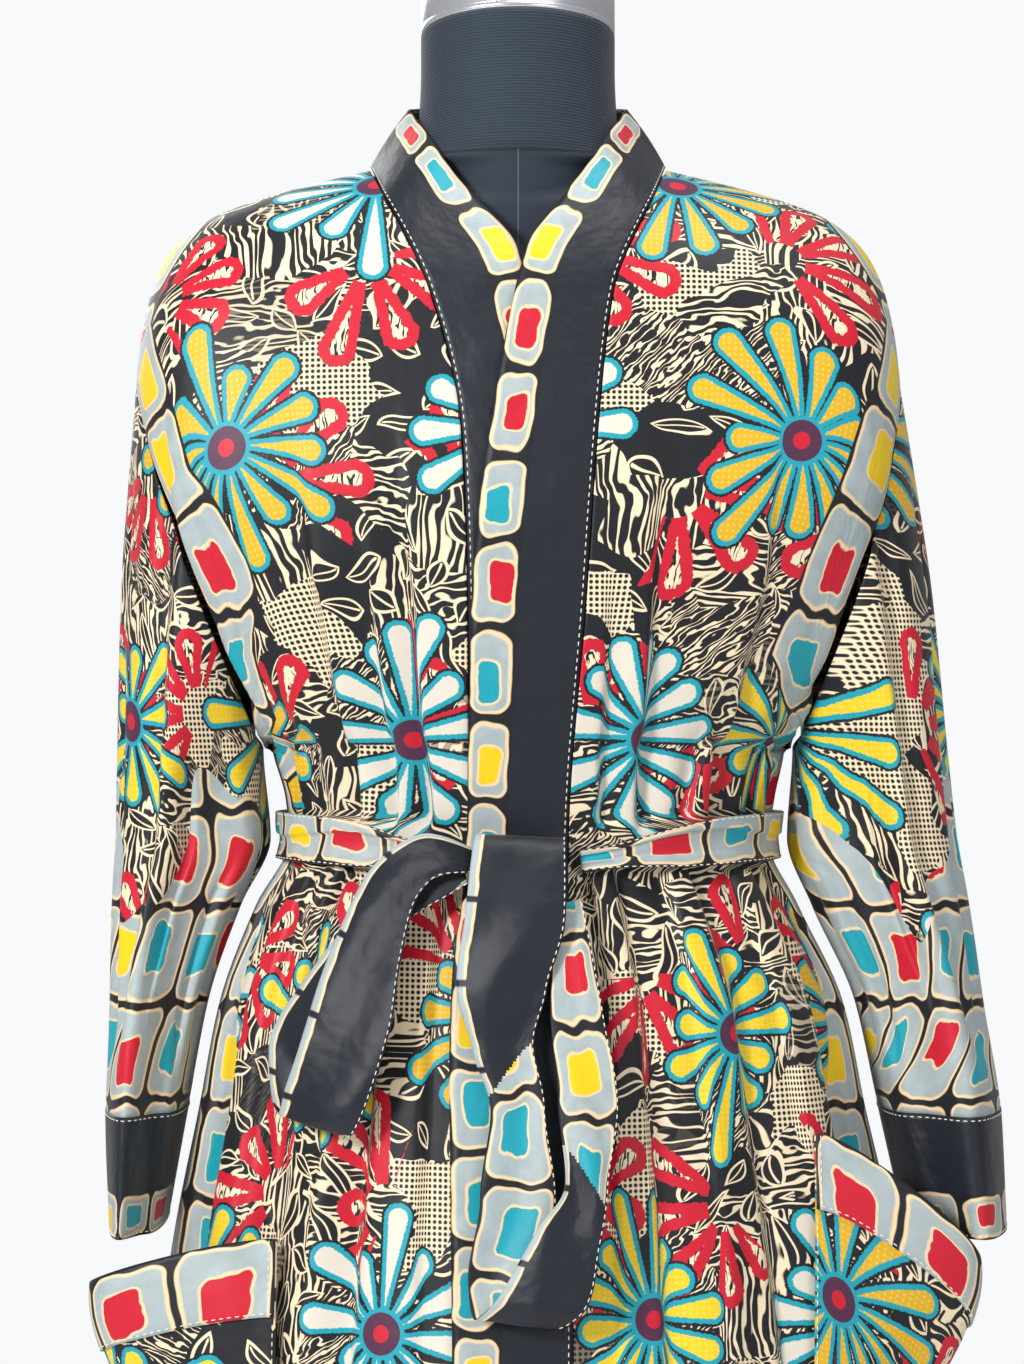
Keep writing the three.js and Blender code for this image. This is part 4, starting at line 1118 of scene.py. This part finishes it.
def print_colour(u, v, border, along):
    sleeve = 1.0 - below(border, LEAST_SLEEVE_BORDER, 1.0)
    # Blocks of woodcut marks on a dark ground
    flow_u = u + (noise(u, v, BLOCK, 1.0, 1.0) - 0.5) * 44
    flow_v = v + (noise(u, v, BLOCK, 1.0, 2.0) - 0.5) * 44
    settings = {"voronoi_dimensions": "2D", "distance": "CHEBYCHEV"}
    block = vector(flow_u / BLOCK, flow_v / 42)
    patch = texture(u.tree, "ShaderNodeTexVoronoi", "Color", settings, Vector=block, Scale=1.0)
    split = u.tree.nodes.new("ShaderNodeSeparateXYZ")
    plug(split.inputs[0], patch)
    kind = Field(u.tree, split.outputs[0])

    def chosen(low, high):
        return below(kind, high, 0.01) * (1.0 - below(kind, low, 0.01))

    marks = chosen(0.0, 0.28) * hairs(flow_u, v, 5.0, 17.0, 0.64, 5.0)
    marks = marks + chosen(0.28, 0.52) * hairs(flow_v, u, 5.4, 20.0, 0.66, 9.0)
    marks = marks + chosen(0.52, 0.62) * hairs(u + v, v - u, 4.4, 13.0, 0.6, 13.0)
    marks = marks + chosen(0.86, 1.1) * (1.0 - below(spots(u, v, 3.3), 1.15, 0.5))
    rim, body = leaves(flow_u, flow_v, 30.0, 25.0, 15.0)
    leafy = chosen(0.62, 0.86) + chosen(0.0, 0.14) + chosen(0.4, 0.52)
    marks = marks * (1.0 - body * leafy) + rim * leafy
    colour = pick(INK, CREAM, calc("MINIMUM", marks, 1.0))
    # Sprigs of red-edged leaves
    x, y, cell, row = scattered(u, v, SPRIG_WIDE, SPRIG_HIGH, 21.0, 0.2, 0.4)
    leaf, radius = petals(x, y, 9.0, 48.0, 22.0, 10.4, cell, row, 23.0)
    leaf = leaf + (noise(u, v, 3.2, 1.0) - 0.5) * 3.4
    facing = calc("COSINE", calc("ARCTAN2", y, x) + chance(cell, row, 25.0) * 6.28)
    leaf = leaf + below(facing, 0.0, 0.02) * 100 + below(radius, 15.0, 0.5) * 100
    colour = pick(colour, CRIMSON, below(leaf, 1.0))
    colour = pick(colour, pick(INK, CREAM, hairs(v, u, 4.2, 9.0, 1.0, 4.0)), below(leaf, -5.6))
    # Large many-petalled flowers
    x, y, cell, row = scattered(u, v, FLOWER_PITCH, FLOWER_PITCH, 31.0)
    count = calc("FLOOR", chance(cell, row, 33.0) * 3.9) + 11.0
    flower, radius = petals(x, y, count, 46.0, 36.0, 8.8, cell, row, 34.0)
    flower = flower + (noise(u, v, 3.0, 2.0) - 0.5) * 1.2 + (noise(u, v, 1.1, 1.0) - 0.5) * 1.5
    draw = chance(cell, row, 37.0)
    fill = pick(pick(OCHRE, PEARL, below(draw, 0.62, 0.01)), MUSTARD, below(draw, 0.38, 0.01))
    fill = pick(fill, SHELL, below(spots(u, v, 3.4), 0.8, 0.4) * 0.4)
    for paint, inside, edge in (
            (INK, flower, 1.8), (TEAL, flower, 0.2), (fill, flower, -2.7), (TEAL, radius, 14.5),
            (PLUM, radius, 12.0), (CRIMSON, radius, 5.0)):
        colour = pick(colour, paint, below(inside, edge))
    # Tiles down the sides and round the lower sleeves
    top = calc("SINE", border * 0.038) * 44 + SLEEVE_TILES_TOP_Z
    lower = below(v, top + calc("SINE", border * 0.11) * 12, 0.5)
    strip = calc("SMOOTH_MIN", calc("MAXIMUM", 1500.0 - v, 490.0) * 0.35 - 120.0, 96.0, 20.0)
    tile_zone = calc("MAXIMUM", below(border, strip, 0.6), sleeve * lower)
    return pick(colour, tiled(border, along, 51.0, 56.0), tile_zone)


BAND_TILES_START = 37.0


def band_colour(u, v):
    """Black cloth with a strip of tiles along its free half."""
    strip = tiled(u - BAND_TILES_START, v, 27.0, 50.0)
    return pick(NIGHT, strip, below(BAND_TILES_START, u, 0.6))


def tile_colour(u, v):
    return tiled(u, v, 48.0, 52.0, 17.0)


def satin_colour(u, v):
    """Black with the tiles of the other face showing along one edge."""
    out = 24.0 - u + (noise(u, v, 14.0, 1.0) - 0.5) * 3.0
    rim = pick(SHELL, hue("A9B5B8"), below(20.6, out, 0.8))
    breaks = below(size_of(fraction(v / 47.0) - 0.5), 0.46, 0.02)
    return pick(NIGHT, rim, below(19.0, out, 0.5) * breaks)


def jersey_material(name):
    """Dark stretch cloth with fine level ribs on the neck and a faint seam down the front."""
    material, tree, shader = new_material(name, 0.78, 0.15)
    node = tree.nodes.new("ShaderNodeTexCoord")
    split = tree.nodes.new("ShaderNodeSeparateXYZ")
    tree.links.new(node.outputs["Object"], split.inputs[0])
    x, y, z = [Field(tree, split.outputs[c]) * 1000 for c in range(3)]
    neck = 1.0 - below(z, NECK_GROOVE_Z, 0.5)
    ribs = calc("SINE", (z + y * 0.14) * 3.6) * 0.5 + 0.5
    seam = below(size_of(x), 0.45, 0.4) * below(y, 0.0, 1.0) * (1.0 - neck)
    # Painted highlight: each rib's crest, where the relief rises, is painted the lighter blue; the noise
    # adds an uneven tone of the knit
    colour = pick(hue("192431"), hue("243242"), ribs * neck * 0.8 + noise(x, z, 2.2) * 0.4)
    # Painted shade: the groove round the foot of the neck is darkened near-black on the front half, on top
    # of its modelled dip
    groove = below(size_of(z - (NECK_GROOVE_Z - 0.5)), 0.9, 0.5)
    colour = pick(colour, hue("0B0C10"), groove * below(y, 0.0, 1.0) * 0.9)
    plug(shader.inputs["Base Color"], pick(colour, hue("5A606E"), seam * 0.7))
    relief(shader, ribs * neck - seam * 2.0, 0.5, 0.0004)
    return material


# Dress the form

printed = cloth_material("printed_cloth", print_colour, 0.5, 0.001, "border")
banded = cloth_material("band_cloth", band_colour, 0.42, 0.0024)
tiles = cloth_material("tiled_cloth", tile_colour, 0.48, 0.001)
satin = cloth_material("black_satin", satin_colour, 0.4, 0.0026)
jersey = jersey_material("form_jersey")
chrome = plain("bright_chrome", "E4E5EA", 0.24, 0.8)
thread = plain("white_thread", "EDE8DC", 0.7)

back_panel(printed)
for side in SIDES:
    front_panel(side, printed)
    sleeve(side, printed)
    cuff(side, banded)
    front_band(side, banded)
    pocket(side, printed, tiles)
back_band(banded)
sash(tiles)
knot(satin)
bow_loop("left", tiles, satin, [(0.29, 0.74)])
bow_loop("right", tiles, satin, [(0.6, 1.01)])
form(jersey)
stand_and_cap(chrome)

# Room, light and camera

turns = np.radians(np.arange(0, 360, 5))
rim = 3000 * np.stack([np.cos(turns), np.sin(turns), 0 * turns], -1)
floor = made("floor", rim, [list(range(len(rim)))], [plain("pale_floor", "F1F2F3", 0.9)], False)

for name, place, aim_z, size, power in (
        ("key_light", (-1.9, -2.5, 2.2), 1.1, 0.8, 92), ("fill_light", (1.8, -3.0, 1.5), 1.0, 2.0, 18),
        ("top_light", (0.3, -0.5, 3.0), 1.2, 1.0, 22), ("rear_light", (-1.2, 2.6, 2.4), 1.1, 1.8, 34)):
    light = bpy.data.lights.new(name, "AREA")
    light.shape, light.size, light.energy = "DISK", size, power
    lamp = bpy.data.objects.new(name, light)
    bpy.context.scene.collection.objects.link(lamp)
    lamp.location = place
    way = Vector((0, 0, aim_z)) - Vector(place)
    lamp.rotation_euler = way.to_track_quat("-Z", "Y").to_euler()

world = bpy.data.worlds.new("room")
world.use_nodes = True
sky = world.node_tree.nodes["Background"]
sky.inputs[0].default_value = (0.97, 0.985, 1, 1)
seen = world.node_tree.nodes.new("ShaderNodeLightPath")
plug(sky.inputs[1], Field(world.node_tree, seen.outputs["Is Camera Ray"]) * 0.68 + 0.28)
bpy.context.scene.world = world

camera = bpy.data.cameras.new("camera")
camera.sensor_width = 36
camera.lens = 106.7
view = bpy.data.objects.new("camera", camera)
view.location = (-0.0035, -2.4, 1.138)
view.rotation_euler = (math.radians(90), 0, 0)
bpy.context.scene.collection.objects.link(view)
bpy.context.scene.camera = view
bpy.context.scene.view_settings.view_transform = "Standard"
